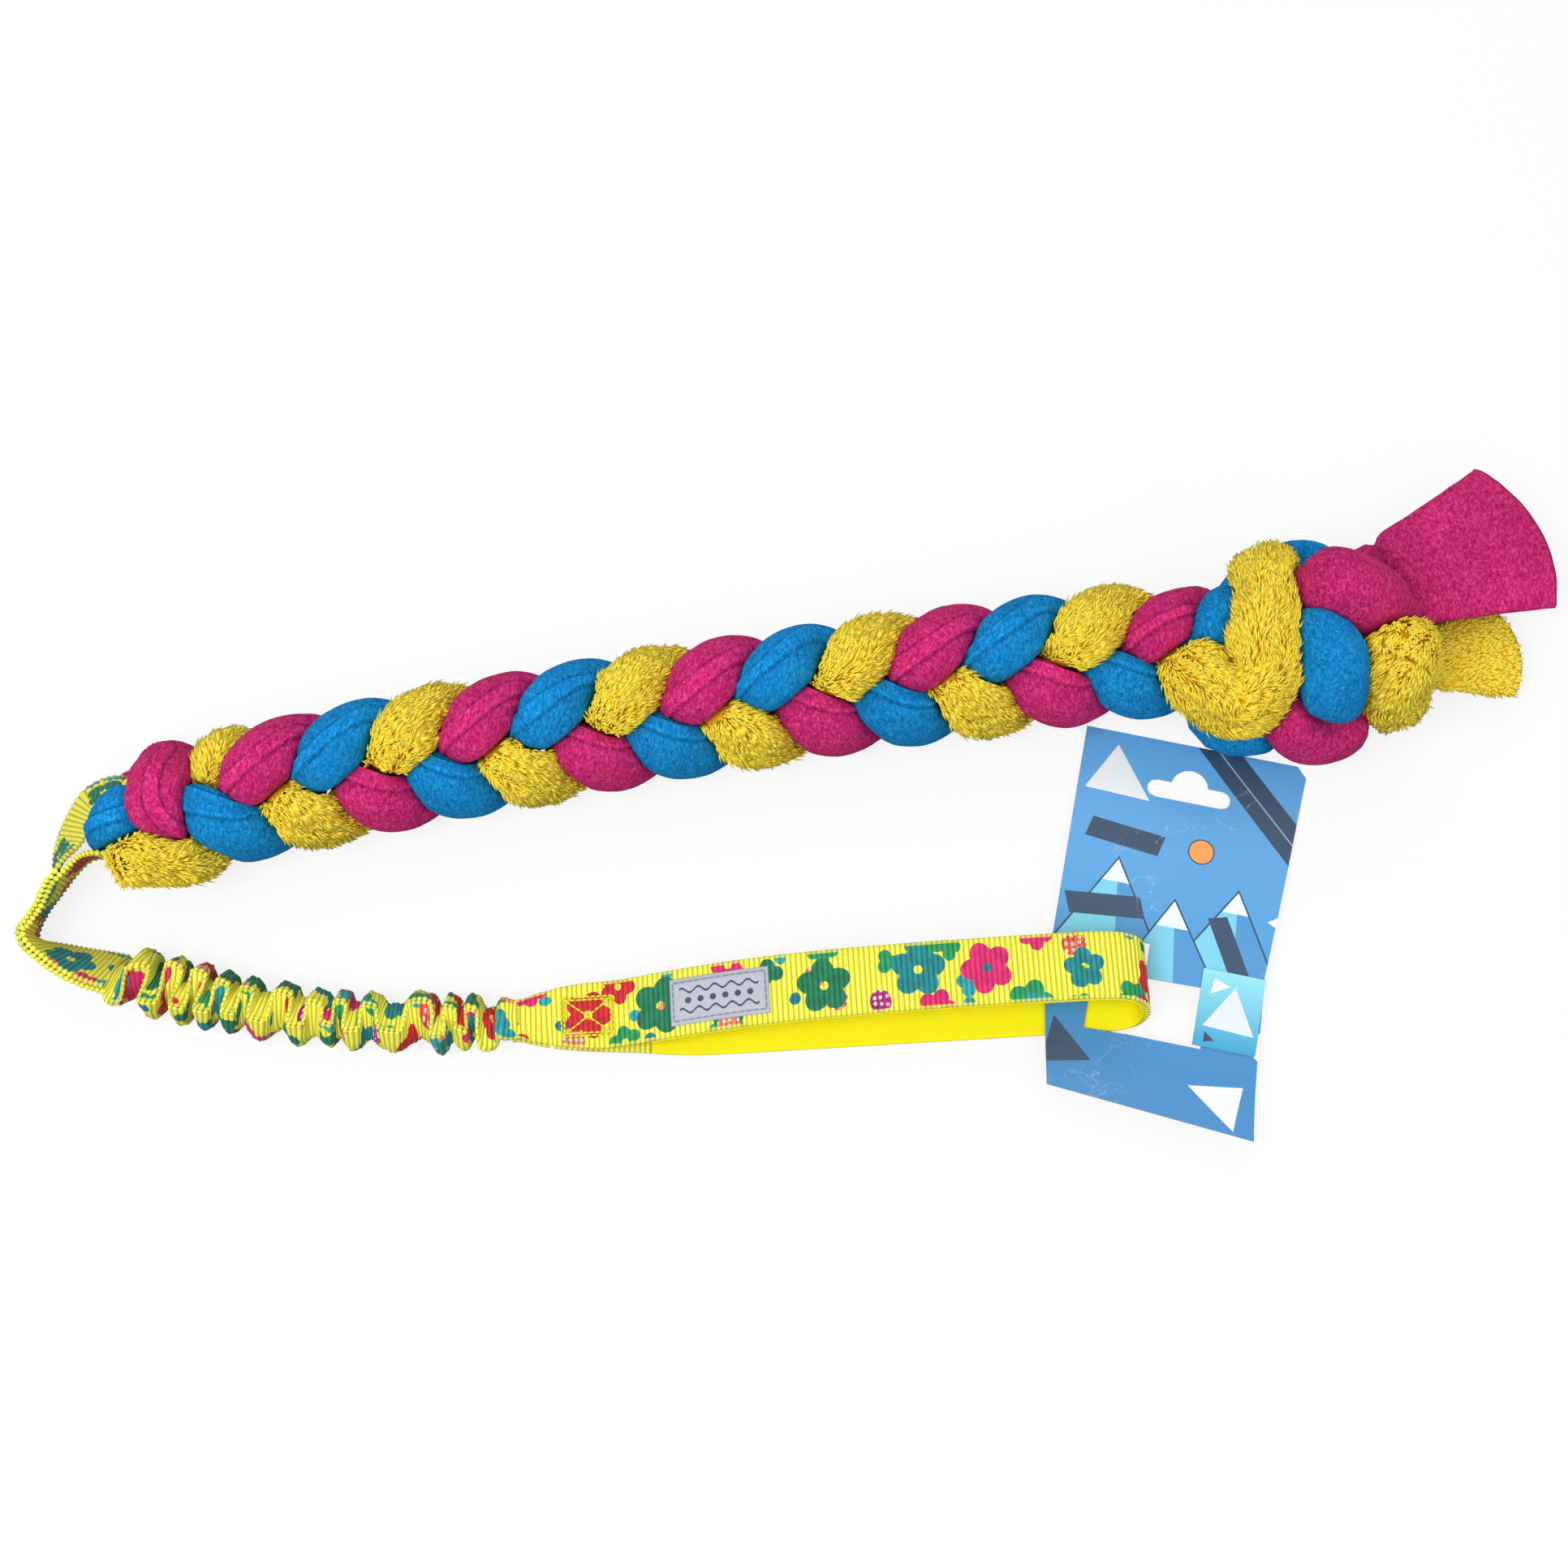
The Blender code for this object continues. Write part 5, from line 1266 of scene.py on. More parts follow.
RIPPLE_HEIGHT = 0.0011
RIPPLE_REACH = 0.060
RIPPLE_PITCH = 0.0085
SLOW_RIPPLE_PITCH = 0.0145
HANDLE_FLOOR_GAP = 0.0002

handle_run = np.array((math.cos(HANDLE_HEADING), math.sin(HANDLE_HEADING)))
handle_side = np.array((-handle_run[1], handle_run[0]))


def handle_place(points):
    """World points and edge directions of the hand loop from distances and heights."""
    lean = (points[:, 1] - SLEEVE_MIDDLE) * HANDLE_LEAN_SHARE
    plan = HANDLE_START + np.outer(points[:, 0], handle_run) + np.outer(lean, handle_side)
    edge = np.tile((*handle_side, 0), (len(points), 1))
    return np.column_stack((plan, points[:, 1])) + ORIGIN_SHIFT, edge


def throat_width(distances):
    """The web's width, drawn in where the gathered sleeve meets it."""
    ease = np.clip(distances / THROAT_EASE, 0, 1)
    return WEB_WIDTH * (THROAT_SHARE + (1 - THROAT_SHARE) * ease * (2 - ease))


def throat_ripples(along, shares):
    """Small puckers of the hand loop's web beside the gathered sleeve, mostly along its edges."""
    distance = along - along[0]
    size = RIPPLE_HEIGHT * np.clip(1 - distance / RIPPLE_REACH, 0, 1)
    pucker = np.sin(2 * math.pi * distance / RIPPLE_PITCH)[:, None] * (2 * shares[None]) ** 2
    tilt = 0.5 * np.sin(2 * math.pi * distance / SLOW_RIPPLE_PITCH + 1)[:, None] * shares[None]
    return size[:, None] * (pucker + tilt)


top = SLEEVE_MIDDLE + LAYER_OFFSET
back = SLEEVE_MIDDLE - LAYER_OFFSET
handle_line = smooth_route(
    (
        (-0.0030, top), (0.0180, top), (0.0350, top), *HANDLE_ROUTE, (0.0240, back), (0.0120, back)
    ), WEB_STEP, placed=2
)
handle_line[:, 1] = np.maximum(handle_line[:, 1], WEB_THICKNESS / 2 + HANDLE_FLOOR_GAP)
route, edge = handle_place(handle_line)
handle_web = web_piece(
    "hand_loop_ribbon",
    route,
    edge,
    throat_width(handle_line[:, 0]),
    cloth_from=0.5970,
    crown=throat_ripples,
)
under_line = smooth_route(((-0.0030, back), (0.0105, back)), WEB_STEP, placed=2)
under_route, under_edge = handle_place(under_line)
throat_web = web_piece(
    "throat_ribbon", under_route, under_edge, throat_width(under_line[:, 0]), cloth_from=0.2800
)
for piece, node_name, held in (
    (handle_web, "handle_web", "folded"), (throat_web, "throat_web", "stretched")
):
    piece.data.materials.append(WEB_CLOTH)
    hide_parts(node_name)
    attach(piece, "handle")


# The lining: plain flat-woven webbing in bright yellow, a little wider than the printed one. It is sewn along
# both edges to the inside of the hand loop, where the hand goes.
LINING_WIDTH = 0.0252
LINING_THICKNESS = 0.0015
LINING_FROM = 0.0470
LINING_GAP = 0.0003
LINING_STEP = 0.0010


def lining_web(name):
    """Dense flat-woven polyester, dyed bright yellow: a fine twill of threads and a soft shine."""
    made, tree, shader = open_material(name)
    place = add_node(tree, "UVMap", uv_map="cloth").outputs[0]
    turned = add_node(
        tree, "Mapping", {"Vector": place, "Rotation": (0, 0, math.radians(38)), "Scale": (1, 1, 1)}
    )
    twill = add_node(
        tree,
        "TexWave",
        {"Vector": turned, "Scale": 420.0, "Distortion": 1.2, "Detail": 2.0, "Detail Scale": 3.0},
    )
    ramp = add_node(
        tree, "Mix", {0: twill.outputs["Fac"], 6: linear("#E8DC00"), 7: linear("#FFF414")}, data_type="RGBA"
    )
    tree.links.new(ramp.outputs[2], shader.inputs["Base Color"])
    shader.inputs["Roughness"].default_value = 0.5
    shader.inputs["Specular IOR Level"].default_value = 0.12
    bump = add_node(tree, "Bump", {"Strength": 0.3, "Distance": 0.0003, "Height": twill.outputs["Fac"]})
    tree.links.new(bump.outputs[0], shader.inputs["Normal"])
    return made


LINING_CLOTH = lining_web("bright_yellow_lining_web")
lined = np.flatnonzero(handle_line[:, 0] > LINING_FROM)
lined = slice(lined[0], lined[-1] + 1)
inward = -(WEB_THICKNESS + LINING_THICKNESS) / 2 - LINING_GAP
lining_route = on_face(route, edge, inward)[lined]
lining_route, (lining_edge,) = resample(lining_route, (edge[lined],), LINING_STEP)
lining_widths = np.full(len(lining_route), LINING_WIDTH)
lining = web_piece(
    "hand_loop_lining", lining_route, lining_edge, lining_widths, plain_thickness=LINING_THICKNESS
)
lining.data.materials.append(LINING_CLOTH)
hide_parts("handle_lining")
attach(lining, "handle")


# The sewing thread: thick twisted polyester, in bright yellow on the straps and in grey on the label. Each
# stitch is a short arched bead of thread that goes into the cloth at both ends.
def thread(name, dark, pale):
    """Twisted polyester sewing thread with a little shine along its plies."""
    made, tree, shader = open_material(name)
    place = add_node(tree, "TexCoord").outputs["Object"]
    plies = add_node(
        tree, "TexWave", {"Vector": place, "Scale": 900.0, "Distortion": 2.0}, bands_direction="DIAGONAL"
    )
    mixed = add_node(
        tree, "Mix", {0: plies.outputs["Fac"], 6: linear(dark), 7: linear(pale)}, data_type="RGBA"
    )
    tree.links.new(mixed.outputs[2], shader.inputs["Base Color"])
    shader.inputs["Roughness"].default_value = 0.42
    bump = add_node(tree, "Bump", {"Strength": 0.4, "Distance": 0.0002, "Height": plies.outputs["Fac"]})
    tree.links.new(bump.outputs[0], shader.inputs["Normal"])
    return made


YELLOW_THREAD = thread("yellow_sewing_thread", "#CFC000", "#F6EE3C")
GREY_THREAD = thread("grey_sewing_thread", "#6E747F", "#9AA1AD")


def stitch_rows(name, paths, normals_at, pitch, radius):
    """Separate stitches along paths on a surface: each an arched bead of thread with its ends going in."""
    corners, faces = [], []
    sides, rings, sunk = 6, 7, 0.45
    for path in paths:
        path = np.array(path, float)
        along = distances_along(path)
        count = max(1, round(along[-1] / pitch))
        marks = np.linspace(0, along[-1], count + 1)
        for start, stop in zip(marks, marks[1:]):
            room = (stop - start) * 0.05
            places = np.linspace(start + room, stop - room, rings)
            centre = np.stack([np.interp(places, along, c) for c in path.T], axis=1)
            up = normals_at(centre)
            arch = np.sin(np.linspace(0, math.pi, rings)) ** 0.6
            centre = centre + up * (radius * (1.5 * arch - sunk))[:, None]
            run = unit(np.gradient(centre, axis=0))
            out = unit(np.cross(run, up))
            above = np.cross(out, run)
            first = len(corners)
            for k in range(rings):
                size = radius * (0.55 + 0.45 * math.sin(math.pi * k / (rings - 1)) ** 0.5)
                for j in range(sides):
                    turn = 2 * math.pi * j / sides
                    corners.append(centre[k] + (out[k] * math.cos(turn) + above[k] * math.sin(turn)) * size)
            for k in range(rings - 1):
                for j in range(sides):
                    a, b = first + k * sides + j, first + k * sides + (j + 1) % sides
                    faces.append((a, b, b + sides, a + sides))
            faces.append(tuple(first + j for j in reversed(range(sides))))
            faces.append(tuple(first + (rings - 1) * sides + j for j in range(sides)))
    return mesh_object(name, np.array(corners), faces)


# The box stitching: a rectangle with a cross and a second row inside the first, in thick yellow thread. It is
# machine-sewn through the webbing's layers, and fastens the hand loop's end at the throat.
STITCH_FROM = 0.0150
STITCH_BOX = (0.0200, 0.0150)
STITCH_PITCH = 0.0021
STITCH_RADIUS = 0.00042
STITCH_ROW_GAP = 0.0010

half_x, half_y = STITCH_BOX[0] / 2 - STITCH_RADIUS, STITCH_BOX[1] / 2 - STITCH_RADIUS
box = ((-half_x, -half_y), (half_x, -half_y), (half_x, half_y), (-half_x, half_y))
lines = [(box[k], box[(k + 1) % 4]) for k in range(4)] + [(box[0], box[2]), (box[1], box[3])]
second = [(x - math.copysign(STITCH_ROW_GAP, x), y - math.copysign(STITCH_ROW_GAP, y)) for x, y in box]
lines += [(second[k], second[(k + 1) % 4]) for k in range(4)]
web_top = surface_tree(handle_web.data)


def drop_on(tree, places, above=0.05):
    """Points of a surface straight below some places in plan."""
    dropped = []
    for x, y in places:
        hit = tree.ray_cast(Vector((x, y, above)), Vector((0, 0, -1)))
        dropped.append(tuple(hit[0]) if hit[0] is not None else (x, y, dropped[-1][2] if dropped else 0))
    return np.array(dropped)


def box_place(x, y):
    """A place of the stitched box in the frame's own x and y."""
    spot = HANDLE_START + handle_run * (STITCH_FROM + STITCH_BOX[0] / 2 + x) + handle_side * y
    return spot + ORIGIN_SHIFT[:2]


def upward(points):
    """Straight up at every point."""
    return np.tile((0.0, 0.0, 1.0), (len(points), 1))


paths = []
for (x0, y0), (x1, y1) in lines:
    spots = [box_place(x0 + (x1 - x0) * t, y0 + (y1 - y0) * t) for t in np.linspace(0, 1, 24)]
    path = drop_on(web_top, spots)
    path[:, 2] = blur(path[:, 2:3], 4, 0)[:, 0]
    paths.append(path)
box_stitches = stitch_rows("box_stitches", paths, upward, STITCH_PITCH, STITCH_RADIUS)
box_stitches.data.materials.append(YELLOW_THREAD)
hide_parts("box_stitching")
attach(box_stitches, "handle")

# The bar tack: three close rows of yellow thread, machine-sewn across both layers of the neck and seen on its
# outer face. It closes the loop that the strands fold round.
TACK_ROWS = 3
TACK_HALF = 0.0098
TACK_FROM = 0.0030
TACK_ROW_GAP = 0.0012
TACK_PITCH = 0.0016
TACK_RADIUS = 0.00038
TACK_LIFT = 0.0001

paths = []
for k in range(TACK_ROWS):
    row = int(np.searchsorted(strap_along, TACK_FROM + k * TACK_ROW_GAP))
    centre = outer_neck[row] + ORIGIN_SHIFT
    faces = np.cross(np.gradient(strap_route, axis=0), strap_across)[row]
    faces /= np.linalg.norm(faces)
    centre = centre + faces * (WEB_THICKNESS / 2 + TACK_LIFT)
    paths.append([centre + strap_across[row] * TACK_HALF * t for t in (-1, -0.5, 0, 0.5, 1)])
tack_normal = faces


def off_neck(points):
    """The neck's outward direction, the same at every point of the tack."""
    return np.tile(tack_normal, (len(points), 1))


bartack = stitch_rows("loop_bartack_stitches", paths, off_neck, TACK_PITCH, TACK_RADIUS)
bartack.data.materials.append(YELLOW_THREAD)
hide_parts("loop_bartack")
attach(bartack, "neck")

# The woven label: grey damask satin with turned ends, sewn on all round with grey stitches. It has a plain
# woven pattern of waves and dots.
LABEL_FROM = 0.0557
LABEL_LENGTH = 0.0360
LABEL_WIDTH = 0.0170
LABEL_THICKNESS = 0.0008
LABEL_COLUMNS = 34
LABEL_ROWS = 60
LABEL_EDGE_ROUNDING = 0.0011
LABEL_GAP = 0.0001
LABEL_PILLOW = 0.00035
LABEL_UNEVEN = 0.00008
LABEL_STITCH_INSET = 0.0013
LABEL_STITCH_PITCH = 0.0026
LABEL_STITCH_RADIUS = 0.00026
LABEL_DIMPLE = 0.00018
LABEL_DIMPLE_WIDTH = 0.0004
UPPER_RUN_FROM = 0.046


def damask(name):
    """Damask label cloth: grey satin weave, with navy threads brought up in waves and dots."""
    made, tree, shader = open_material(name)
    place = add_node(tree, "UVMap", uv_map="cloth").outputs[0]
    apart = add_node(tree, "SeparateXYZ", {0: place})
    along, across = apart.outputs[0], apart.outputs[1]
    swing = add_node(tree, "Math", {0: along, 1: 2 * math.pi / 0.0060}, operation="MULTIPLY")
    swing = add_node(tree, "Math", {0: swing}, operation="SINE")
    swing = add_node(tree, "Math", {0: swing, 1: 0.0009}, operation="MULTIPLY")
    shift = add_node(tree, "Math", {0: across, 1: swing}, operation="ADD")
    marks = None
    for middle, half_width in ((0.0048, 0.00042), (0.0122, 0.00042)):
        off = add_node(tree, "Math", {0: shift, 1: middle}, operation="SUBTRACT")
        off = add_node(tree, "Math", {0: off}, operation="ABSOLUTE")
        line = add_node(tree, "Math", {0: off, 1: half_width}, operation="LESS_THAN")
        marks = line if marks is None else add_node(tree, "Math", {0: marks, 1: line}, operation="MAXIMUM")
    spot_place = add_node(
        tree, "Mapping", {"Vector": place, "Location": (0, 0.2, 0), "Scale": (1 / 0.0045, 1 / 0.0170, 1)}
    )
    cell = add_node(tree, "VectorMath", {0: spot_place}, operation="FRACTION")
    cell = add_node(tree, "VectorMath", {0: cell, 1: (0.5, 0.7, 0)}, operation="SUBTRACT")
    cell = add_node(tree, "VectorMath", {0: cell, 1: (4.5, 17.0, 0)}, operation="MULTIPLY")
    reach = add_node(tree, "VectorMath", {0: cell}, operation="LENGTH")
    spot = add_node(tree, "Math", {0: reach.outputs["Value"], 1: 1.15}, operation="LESS_THAN")
    marks = add_node(tree, "Math", {0: marks, 1: spot}, operation="MAXIMUM")
    inside = None
    for socket, low, high in ((along, 0.0036, 0.0324), (across, 0.0028, 0.0142)):
        for edge_place, operation in ((low, "GREATER_THAN"), (high, "LESS_THAN")):
            gate = add_node(tree, "Math", {0: socket, 1: edge_place}, operation=operation)
            inside = gate if inside is None else add_node(
                tree, "Math", {0: inside, 1: gate}, operation="MULTIPLY"
            )
    shown = add_node(tree, "Math", {0: marks, 1: inside}, operation="MULTIPLY")
    weave = add_node(tree, "Mapping", {"Vector": place, "Scale": (5200, 2600, 1)})
    weave = add_node(tree, "TexNoise", {"Vector": weave, "Scale": 1.0, "Detail": 1.0})
    grey = add_node(
        tree, "Mix", {0: weave.outputs["Fac"], 6: linear("#8F96A3"), 7: linear("#C3C8D1")}, data_type="RGBA"
    )
    navy = add_node(
        tree, "Mix", {0: weave.outputs["Fac"], 6: linear("#141A33"), 7: linear("#343C5C")}, data_type="RGBA"
    )
    mixed = add_node(tree, "Mix", {0: shown, 6: grey.outputs[2], 7: navy.outputs[2]}, data_type="RGBA")
    tree.links.new(mixed.outputs[2], shader.inputs["Base Color"])
    shader.inputs["Roughness"].default_value = 0.48
    shader.inputs["Sheen Weight"].default_value = 0.15
    bump = add_node(tree, "Bump", {"Strength": 0.4, "Distance": 0.0003, "Height": weave.outputs["Fac"]})
    tree.links.new(bump.outputs[0], shader.inputs["Normal"])
    return made


farthest = int(np.argmax(handle_line[:, 0]))
places = np.linspace(LABEL_FROM, LABEL_FROM + LABEL_LENGTH, LABEL_ROWS)
heights = np.interp(places, handle_line[:farthest, 0], handle_line[:farthest, 1])
label_route, label_edge = handle_place(np.column_stack((places, heights)))
up = unit(np.cross(np.gradient(label_route, axis=0), label_edge))
up *= np.sign(up[0, 2])
label_shares = np.linspace(-0.5, 0.5, LABEL_COLUMNS)
from_end = np.minimum(places - places[0], places[-1] - places)
edge_near = np.minimum.outer(from_end, (0.5 - np.abs(label_shares)) * LABEL_WIDTH)
pillow = 1 - np.exp(-((edge_near / LABEL_EDGE_ROUNDING) ** 2))
dimple = np.exp(-(((edge_near - LABEL_STITCH_INSET) / LABEL_DIMPLE_WIDTH) ** 2))
lift = (WEB_THICKNESS + LABEL_THICKNESS) / 2 + LABEL_GAP + LABEL_PILLOW * pillow - LABEL_DIMPLE * dimple
lift += noise_field(lift.shape, 31, 6, 4) * LABEL_UNEVEN
flat_points = label_route[:, None] + label_edge[:, None] * (label_shares * LABEL_WIDTH)[None, :, None]
half = LABEL_THICKNESS / 2 * (0.35 + 0.65 * pillow)
upper = flat_points + up[:, None] * (lift + half)[:, :, None]
lower = flat_points + up[:, None] * (lift - half)[:, :, None]
label = layered_body("woven_label", upper, lower, places - places[0], label_shares, LABEL_WIDTH)
label.data.materials.append(damask("grey_damask_label"))
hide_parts("label")
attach(label, "handle")

upper_run = slice(int(UPPER_RUN_FROM / WEB_STEP), int(np.argmax(handle_line[:, 0])))
tangent = np.gradient(route, axis=0)
face_up = unit(np.cross(tangent, edge))
face_up = face_up[upper_run] * np.sign(face_up[upper_run][0, 2])
lookup = route[upper_run, 0] * handle_run[0] + route[upper_run, 1] * handle_run[1]


def face_at(points):
    """The hand loop's outward direction under some points."""
    places = points[:, 0] * handle_run[0] + points[:, 1] * handle_run[1]
    found = np.stack([np.interp(places, lookup, face_up[:, k]) for k in range(3)], axis=1)
    return unit(found)


def label_surface(row_share, column_share):
    """The point of the label's face at a share of its length and width."""
    row = min(LABEL_ROWS - 1, max(0, round(row_share * (LABEL_ROWS - 1))))
    column = min(LABEL_COLUMNS - 1, max(0, round(column_share * (LABEL_COLUMNS - 1))))
    return upper[row, column]


row_in = LABEL_STITCH_INSET / LABEL_LENGTH
column_in = LABEL_STITCH_INSET / LABEL_WIDTH
paths = [
    [label_surface(t, column_in) for t in np.linspace(row_in, 1 - row_in, 50)],
    [label_surface(t, 1 - column_in) for t in np.linspace(row_in, 1 - row_in, 50)],
    [label_surface(row_in, t) for t in np.linspace(column_in, 1 - column_in, 26)],
    [label_surface(1 - row_in, t) for t in np.linspace(column_in, 1 - column_in, 26)],
]
label_stitches = stitch_rows("label_stitches", paths, face_at, LABEL_STITCH_PITCH, LABEL_STITCH_RADIUS)
label_stitches.data.materials.append(GREY_THREAD)
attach(label_stitches, "handle")

# The elastic: flat braided elastic, white polyester cords over rubber. It lies stretched inside the sleeve,
# sewn in at both ends, and its pull gathers the webbing into ruffles.
ELASTIC_WIDTH = 0.0100
ELASTIC_ROWS = slice(30, -90, 4)
elastic_line = plan[ELASTIC_ROWS]
elastic_route = np.column_stack((elastic_line, np.full(len(elastic_line), SLEEVE_MIDDLE))) + ORIGIN_SHIFT
elastic_widths = np.full(len(elastic_line), ELASTIC_WIDTH)
elastic = web_piece(
    "braided_elastic", elastic_route, side[ELASTIC_ROWS], elastic_widths, plain_thickness=ELASTIC_THICKNESS
)


def braided(name):
    """White braided elastic: narrow lengthwise cords of polyester over rubber."""
    made, tree, shader = open_material(name)
    place = add_node(tree, "UVMap", uv_map="cloth").outputs[0]
    cords = add_node(
        tree, "TexWave", {"Vector": place, "Scale": 260.0, "Distortion": 0.6}, bands_direction="Y"
    )
    mixed = add_node(
        tree, "Mix", {0: cords.outputs["Fac"], 6: linear("#CFCFCB"), 7: linear("#F2F2EE")}, data_type="RGBA"
    )
    tree.links.new(mixed.outputs[2], shader.inputs["Base Color"])
    shader.inputs["Roughness"].default_value = 0.7
    bump = add_node(tree, "Bump", {"Strength": 0.6, "Distance": 0.0006, "Height": cords.outputs["Fac"]})
    tree.links.new(bump.outputs[0], shader.inputs["Normal"])
    return made


elastic.data.materials.append(braided("white_braided_elastic"))
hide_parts("bungee_elastic")
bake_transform(elastic)

# The hang card: printed and coated board, 0.7 mm thick, threaded on the hand loop, with a gloss sticker. Its
# print is a plain pattern of bars, triangles and hills in blues, navy, white and a little orange, and its cut
# edges and back are bare board.
CARD_PLACE = (0.1122 + float(ORIGIN_SHIFT[0]), 0.0344 + float(ORIGIN_SHIFT[1]), 0)
CARD_HEADING = math.radians(-11.6)
HILL_OUTLINE = 0.6
SNOW_SHARE = 0.26


def inside_shape(tree, place, corners):
    """One inside a straight-sided shape that bulges outward everywhere, its corners clockwise in mm."""
    shown = None
    for (x0, y0), (x1, y1) in zip(corners, corners[1:] + corners[:1]):
        length = math.hypot(x1 - x0, y1 - y0)
        across = ((y1 - y0) / length, -(x1 - x0) / length, 0)
        off = add_node(tree, "VectorMath", {0: place, 1: across}, operation="DOT_PRODUCT")
        level = across[0] * x0 + across[1] * y0
        side_of = add_node(tree, "Math", {0: off.outputs["Value"], 1: level}, operation="GREATER_THAN")
        if shown is None:
            shown = side_of
        else:
            shown = add_node(tree, "Math", {0: shown, 1: side_of}, operation="MULTIPLY")
    return shown.outputs[0]


def inside_ring(tree, place, centre, outer_radius, inner_radius):
    """One between two circles about a centre in mm."""
    off = add_node(tree, "VectorMath", {0: place, 1: (*centre, 0)}, operation="SUBTRACT")
    off = add_node(tree, "VectorMath", {0: off}, operation="LENGTH")
    out = add_node(tree, "Math", {0: off.outputs["Value"], 1: outer_radius}, operation="LESS_THAN")
    beyond = add_node(tree, "Math", {0: off.outputs["Value"], 1: inner_radius}, operation="GREATER_THAN")
    return add_node(tree, "Math", {0: out, 1: beyond}, operation="MULTIPLY").outputs[0]


def overprint(tree, ground, share, ink):
    """One flat ink laid over the ground where its share is one."""
    mixed = add_node(tree, "Mix", {0: share, 6: ground, 7: linear(ink)}, data_type="RGBA")
    return mixed.outputs[2]


def overprint_shapes(tree, ground, local, shapes):
    """Flat inks over the ground, one straight-sided shape after another."""
    for ink, corners in shapes:
        ground = overprint(tree, ground, inside_shape(tree, local, corners), ink)
    return ground


def card_axes(tree):
    """The card's own distances in mm: across from its left edge, and up from its top edge."""
    place = add_node(tree, "TexCoord").outputs["Object"]
    local = add_node(
        tree,
        "Mapping",
        {
            "Vector": place,
            "Location": CARD_PLACE,
            "Rotation": (0, 0, CARD_HEADING),
            "Scale": (0.001, 0.001, 0.001),
        },
        vector_type="TEXTURE",
    )
    level = add_node(tree, "VectorMath", {0: local, 1: (1, 1, 0)}, operation="MULTIPLY")
    return level.outputs[0], place


def bare_board(tree, colour, place):
    """Bare grey-white board wherever the surface isn't the printed face, and scuffs on the print."""
    facing = add_node(tree, "NewGeometry")
    height = add_node(tree, "SeparateXYZ", {0: facing.outputs["Normal"]})
    printed = add_node(tree, "Math", {0: height.outputs[2], 1: 0.6}, operation="GREATER_THAN")
    fibres = add_node(tree, "TexNoise", {"Vector": place, "Scale": 1400.0, "Detail": 3.0})
    board = add_node(
        tree,
        "Mix",
        {0: fibres.outputs["Fac"], 6: linear("#B9B7AE"), 7: linear("#E2E0D8")},
        data_type="RGBA",
    )
    creases = add_node(tree, "TexNoise", {"Vector": place, "Scale": 55.0, "Detail": 6.0, "Distortion": 1.5})
    off = add_node(tree, "Math", {0: creases.outputs["Fac"], 1: 0.5}, operation="SUBTRACT")
    off = add_node(tree, "Math", {0: off}, operation="ABSOLUTE")
    scuff = add_node(tree, "MapRange", {0: off, "From Max": 0.004, "To Min": 0.45, "To Max": 0.0})
    patch = add_node(tree, "TexNoise", {"Vector": place, "Scale": 22.0, "Detail": 2.0})
    patch = add_node(tree, "MapRange", {0: patch.outputs["Fac"], "From Min": 0.55, "From Max": 0.62})
    scuff = add_node(tree, "Math", {0: scuff, 1: patch}, operation="MULTIPLY")
    worn = add_node(tree, "Mix", {0: scuff, 6: colour, 7: linear("#DDE8F0")}, data_type="RGBA")
    mixed = add_node(tree, "Mix", {0: printed, 6: board.outputs[2], 7: worn.outputs[2]}, data_type="RGBA")
    return mixed.outputs[2], fibres.outputs["Fac"], creases.outputs["Fac"]


def printed_board(name, paint, roughness):
    """Offset-printed board under a thin water-based coat: flat inks, a low gloss and a faint unevenness."""
    made, tree, shader = open_material(name)
    local, place = card_axes(tree)
    colour, fibres, waves = bare_board(tree, paint(tree, local), place)
    tree.links.new(colour, shader.inputs["Base Color"])
    shader.inputs["Roughness"].default_value = roughness
    shader.inputs["Coat Weight"].default_value = 0.2
    shader.inputs["Coat Roughness"].default_value = 0.3
    uneven = add_node(tree, "Math", {0: waves, 1: fibres}, operation="ADD")
    bump = add_node(tree, "Bump", {"Strength": 0.15, "Distance": 0.0003, "Height": uneven})
    tree.links.new(bump.outputs[0], shader.inputs["Normal"])
    return made


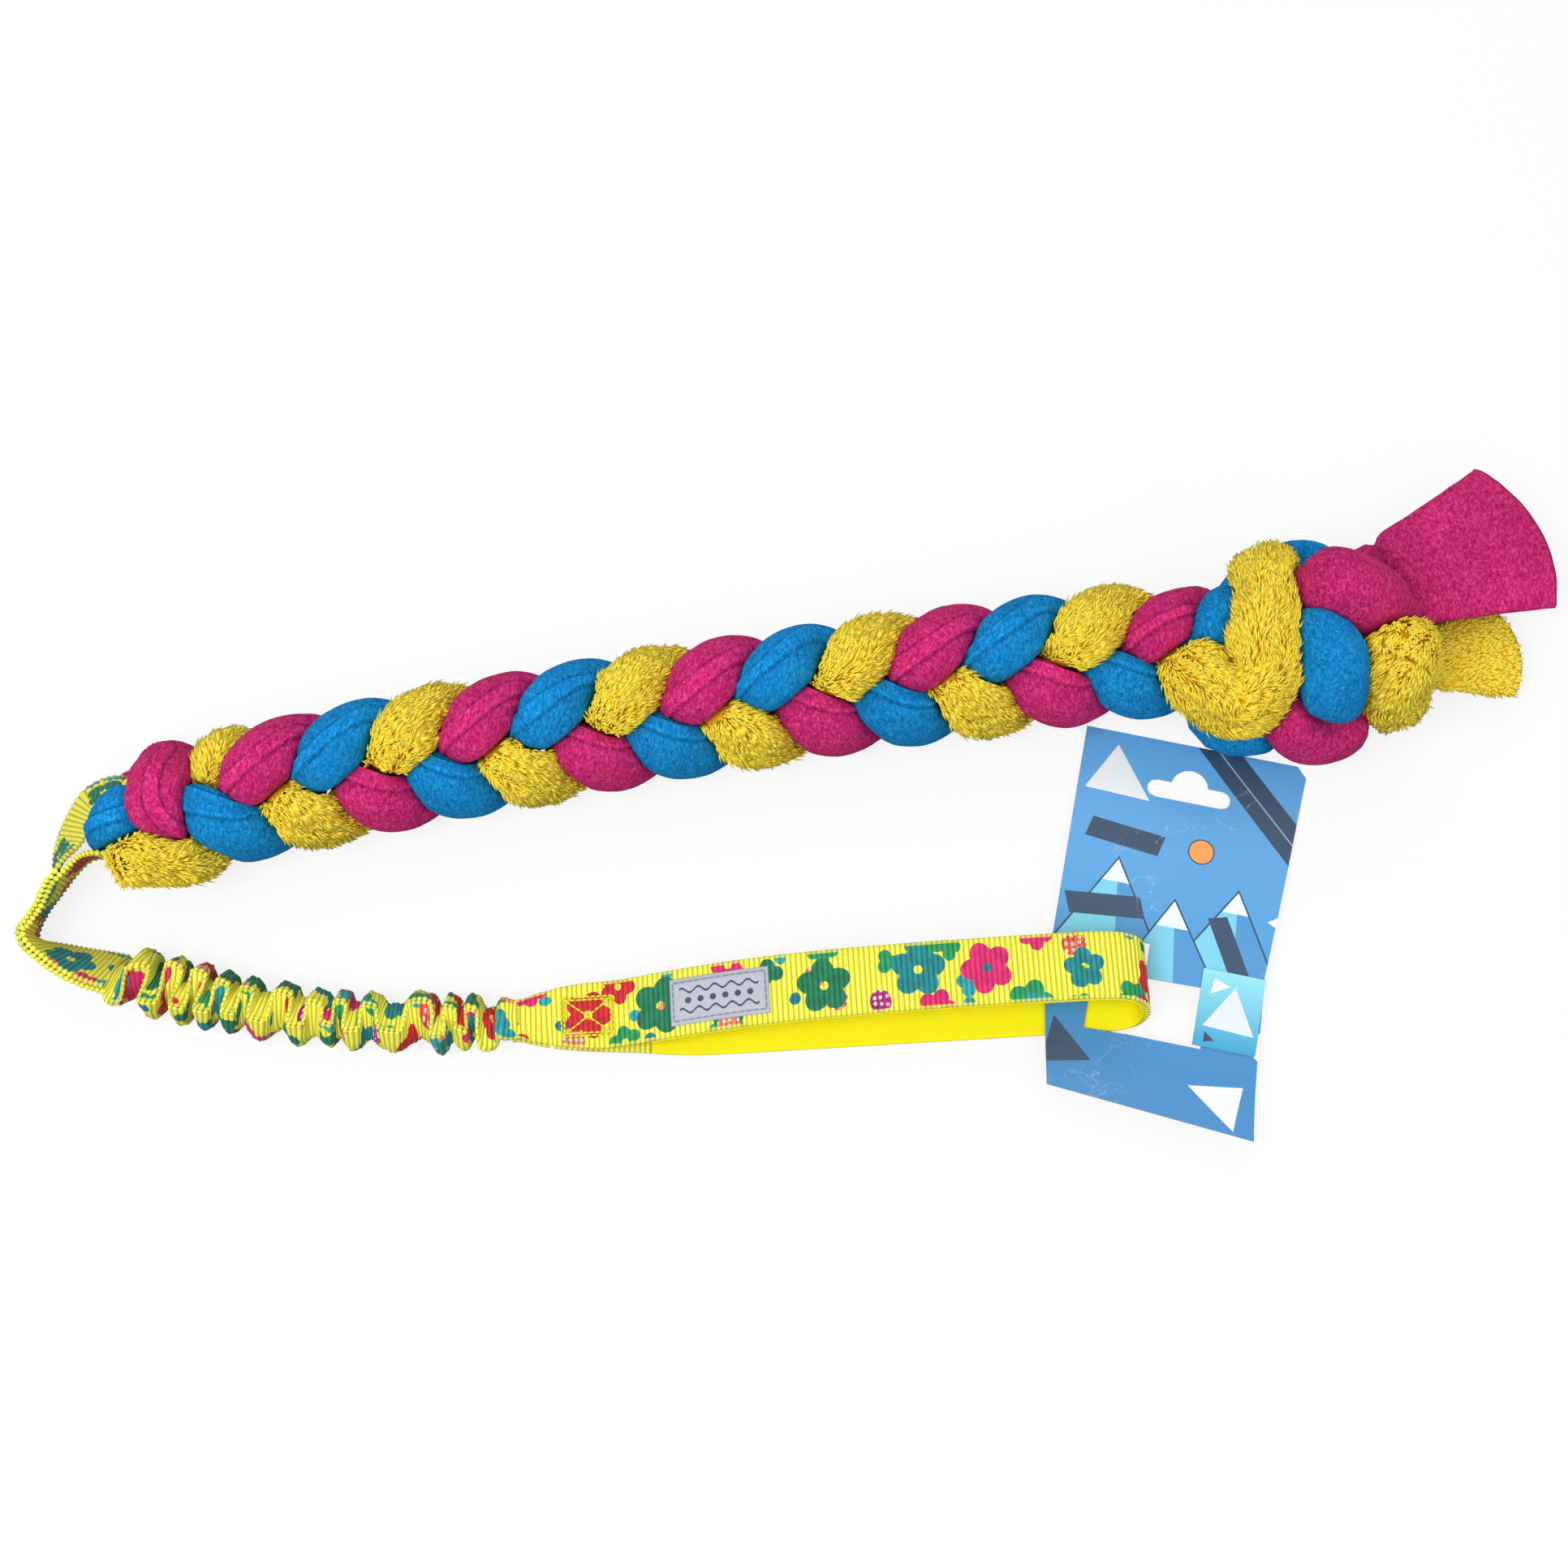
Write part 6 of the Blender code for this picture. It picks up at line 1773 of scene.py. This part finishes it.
def card_print(tree, local):
    """The card's face: a blue ground that deepens downward, a sun, three hills, and bars and triangles."""
    down = add_node(tree, "SeparateXYZ", {0: local})
    deep = add_node(
        tree,
        "MapRange",
        {0: down.outputs[1], "From Min": -35.0, "From Max": -125.0},
        interpolation_type="SMOOTHSTEP",
    )
    field = add_node(tree, "Mix", {0: deep, 6: linear("#5AA2DC"), 7: linear("#3A84BE")}, data_type="RGBA")
    colour = field.outputs[2]
    colour = overprint(tree, colour, inside_ring(tree, local, (50, -41), 5.0, 0), "#23415F")
    colour = overprint(tree, colour, inside_ring(tree, local, (50, -41), 4.5, 0), "#F0A050")
    for peak, left, right, foot in (
        ((20, -50), 1, 40, -84), ((66, -54), 46, 84, -86), ((43, -62), 22, 68, -101)
    ):
        top, base = (peak[0], peak[1] + 2 * HILL_OUTLINE), foot - HILL_OUTLINE
        outline = (top, (right + 2 * HILL_OUTLINE, base), (left - 2 * HILL_OUTLINE, base))
        colour = overprint(tree, colour, inside_shape(tree, local, outline), "#23415F")
        colour = overprint(
            tree, colour, inside_shape(tree, local, (peak, (right, foot), (left, foot))), "#79CBE6"
        )
        fold = ((left + right) / 2 + 3, foot)
        colour = overprint(tree, colour, inside_shape(tree, local, (peak, (right, foot), fold)), "#4B93CC")
        snow_line = peak[1] + (foot - peak[1]) * SNOW_SHARE
        snow_right = peak[0] + (right - peak[0]) * SNOW_SHARE
        snow_left = peak[0] + (left - peak[0]) * SNOW_SHARE
        cap = (peak, (snow_right, snow_line), (snow_left, snow_line))
        colour = overprint(tree, colour, inside_shape(tree, local, cap), "#E3EDF3")
    shapes = (
        ("#2C4560", ((40, 3), (57, 3), (90, -29), (90, -47))),
        ("#8FA6BC", ((47.5, 3), (48.3, 3), (90, -37.6), (90, -38.4))),
        ("#E9EDF0", ((13, -5), (28, -25), (3, -24))),
        ("#E9EDF0", ((78, -63), (90, -55), (90, -69))),
        ("#2C4560", ((8, -35), (36, -38), (34, -46), (6, -43))),
        ("#2C4560", ((2, -66), (30, -63), (33, -71), (5, -74))),
        ("#2C4560", ((56, -66), (63, -64), (76, -88), (69, -90))),
        ("#2C4560", ((6, -113), (22, -127), (4, -131))),
        ("#E9EDF0", ((72, -108), (84, -104), (83, -116))),
        ("#E9EDF0", ((58, -129), (78, -126), (76, -143))),
    )
    return overprint_shapes(tree, colour, local, shapes)


def sticker_print(tree, local):
    """The sticker's face: pale blue that deepens downward, with three triangles."""
    down = add_node(tree, "SeparateXYZ", {0: local})
    deep = add_node(tree, "MapRange", {0: down.outputs[1], "From Min": -86.0, "From Max": -114.0})
    field = add_node(tree, "Mix", {0: deep, 6: linear("#8FDDEB"), 7: linear("#2E9CC8")}, data_type="RGBA")
    colour = field.outputs[2]
    shapes = (
        ("#E9EDF0", ((62, -88), (68, -90), (61, -94))),
        ("#DDE5EA", ((70, -90), (79, -107), (60, -106))),
        ("#2C4560", ((61, -108), (65, -111), (61, -112))),
    )
    return overprint_shapes(tree, colour, local, shapes)


for node_name, finish in (
    ("header_card", printed_board("printed_coated_board", card_print, 0.42)),
    ("card_sticker", printed_board("printed_gloss_sticker", sticker_print, 0.22)),
):
    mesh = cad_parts[node_name].data
    mesh.materials.clear()
    mesh.materials.append(finish)


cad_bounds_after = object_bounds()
sizes = {"cad": [list(map(float, c)) for c in cad_box], "visual": [list(map(float, c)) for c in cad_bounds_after]}
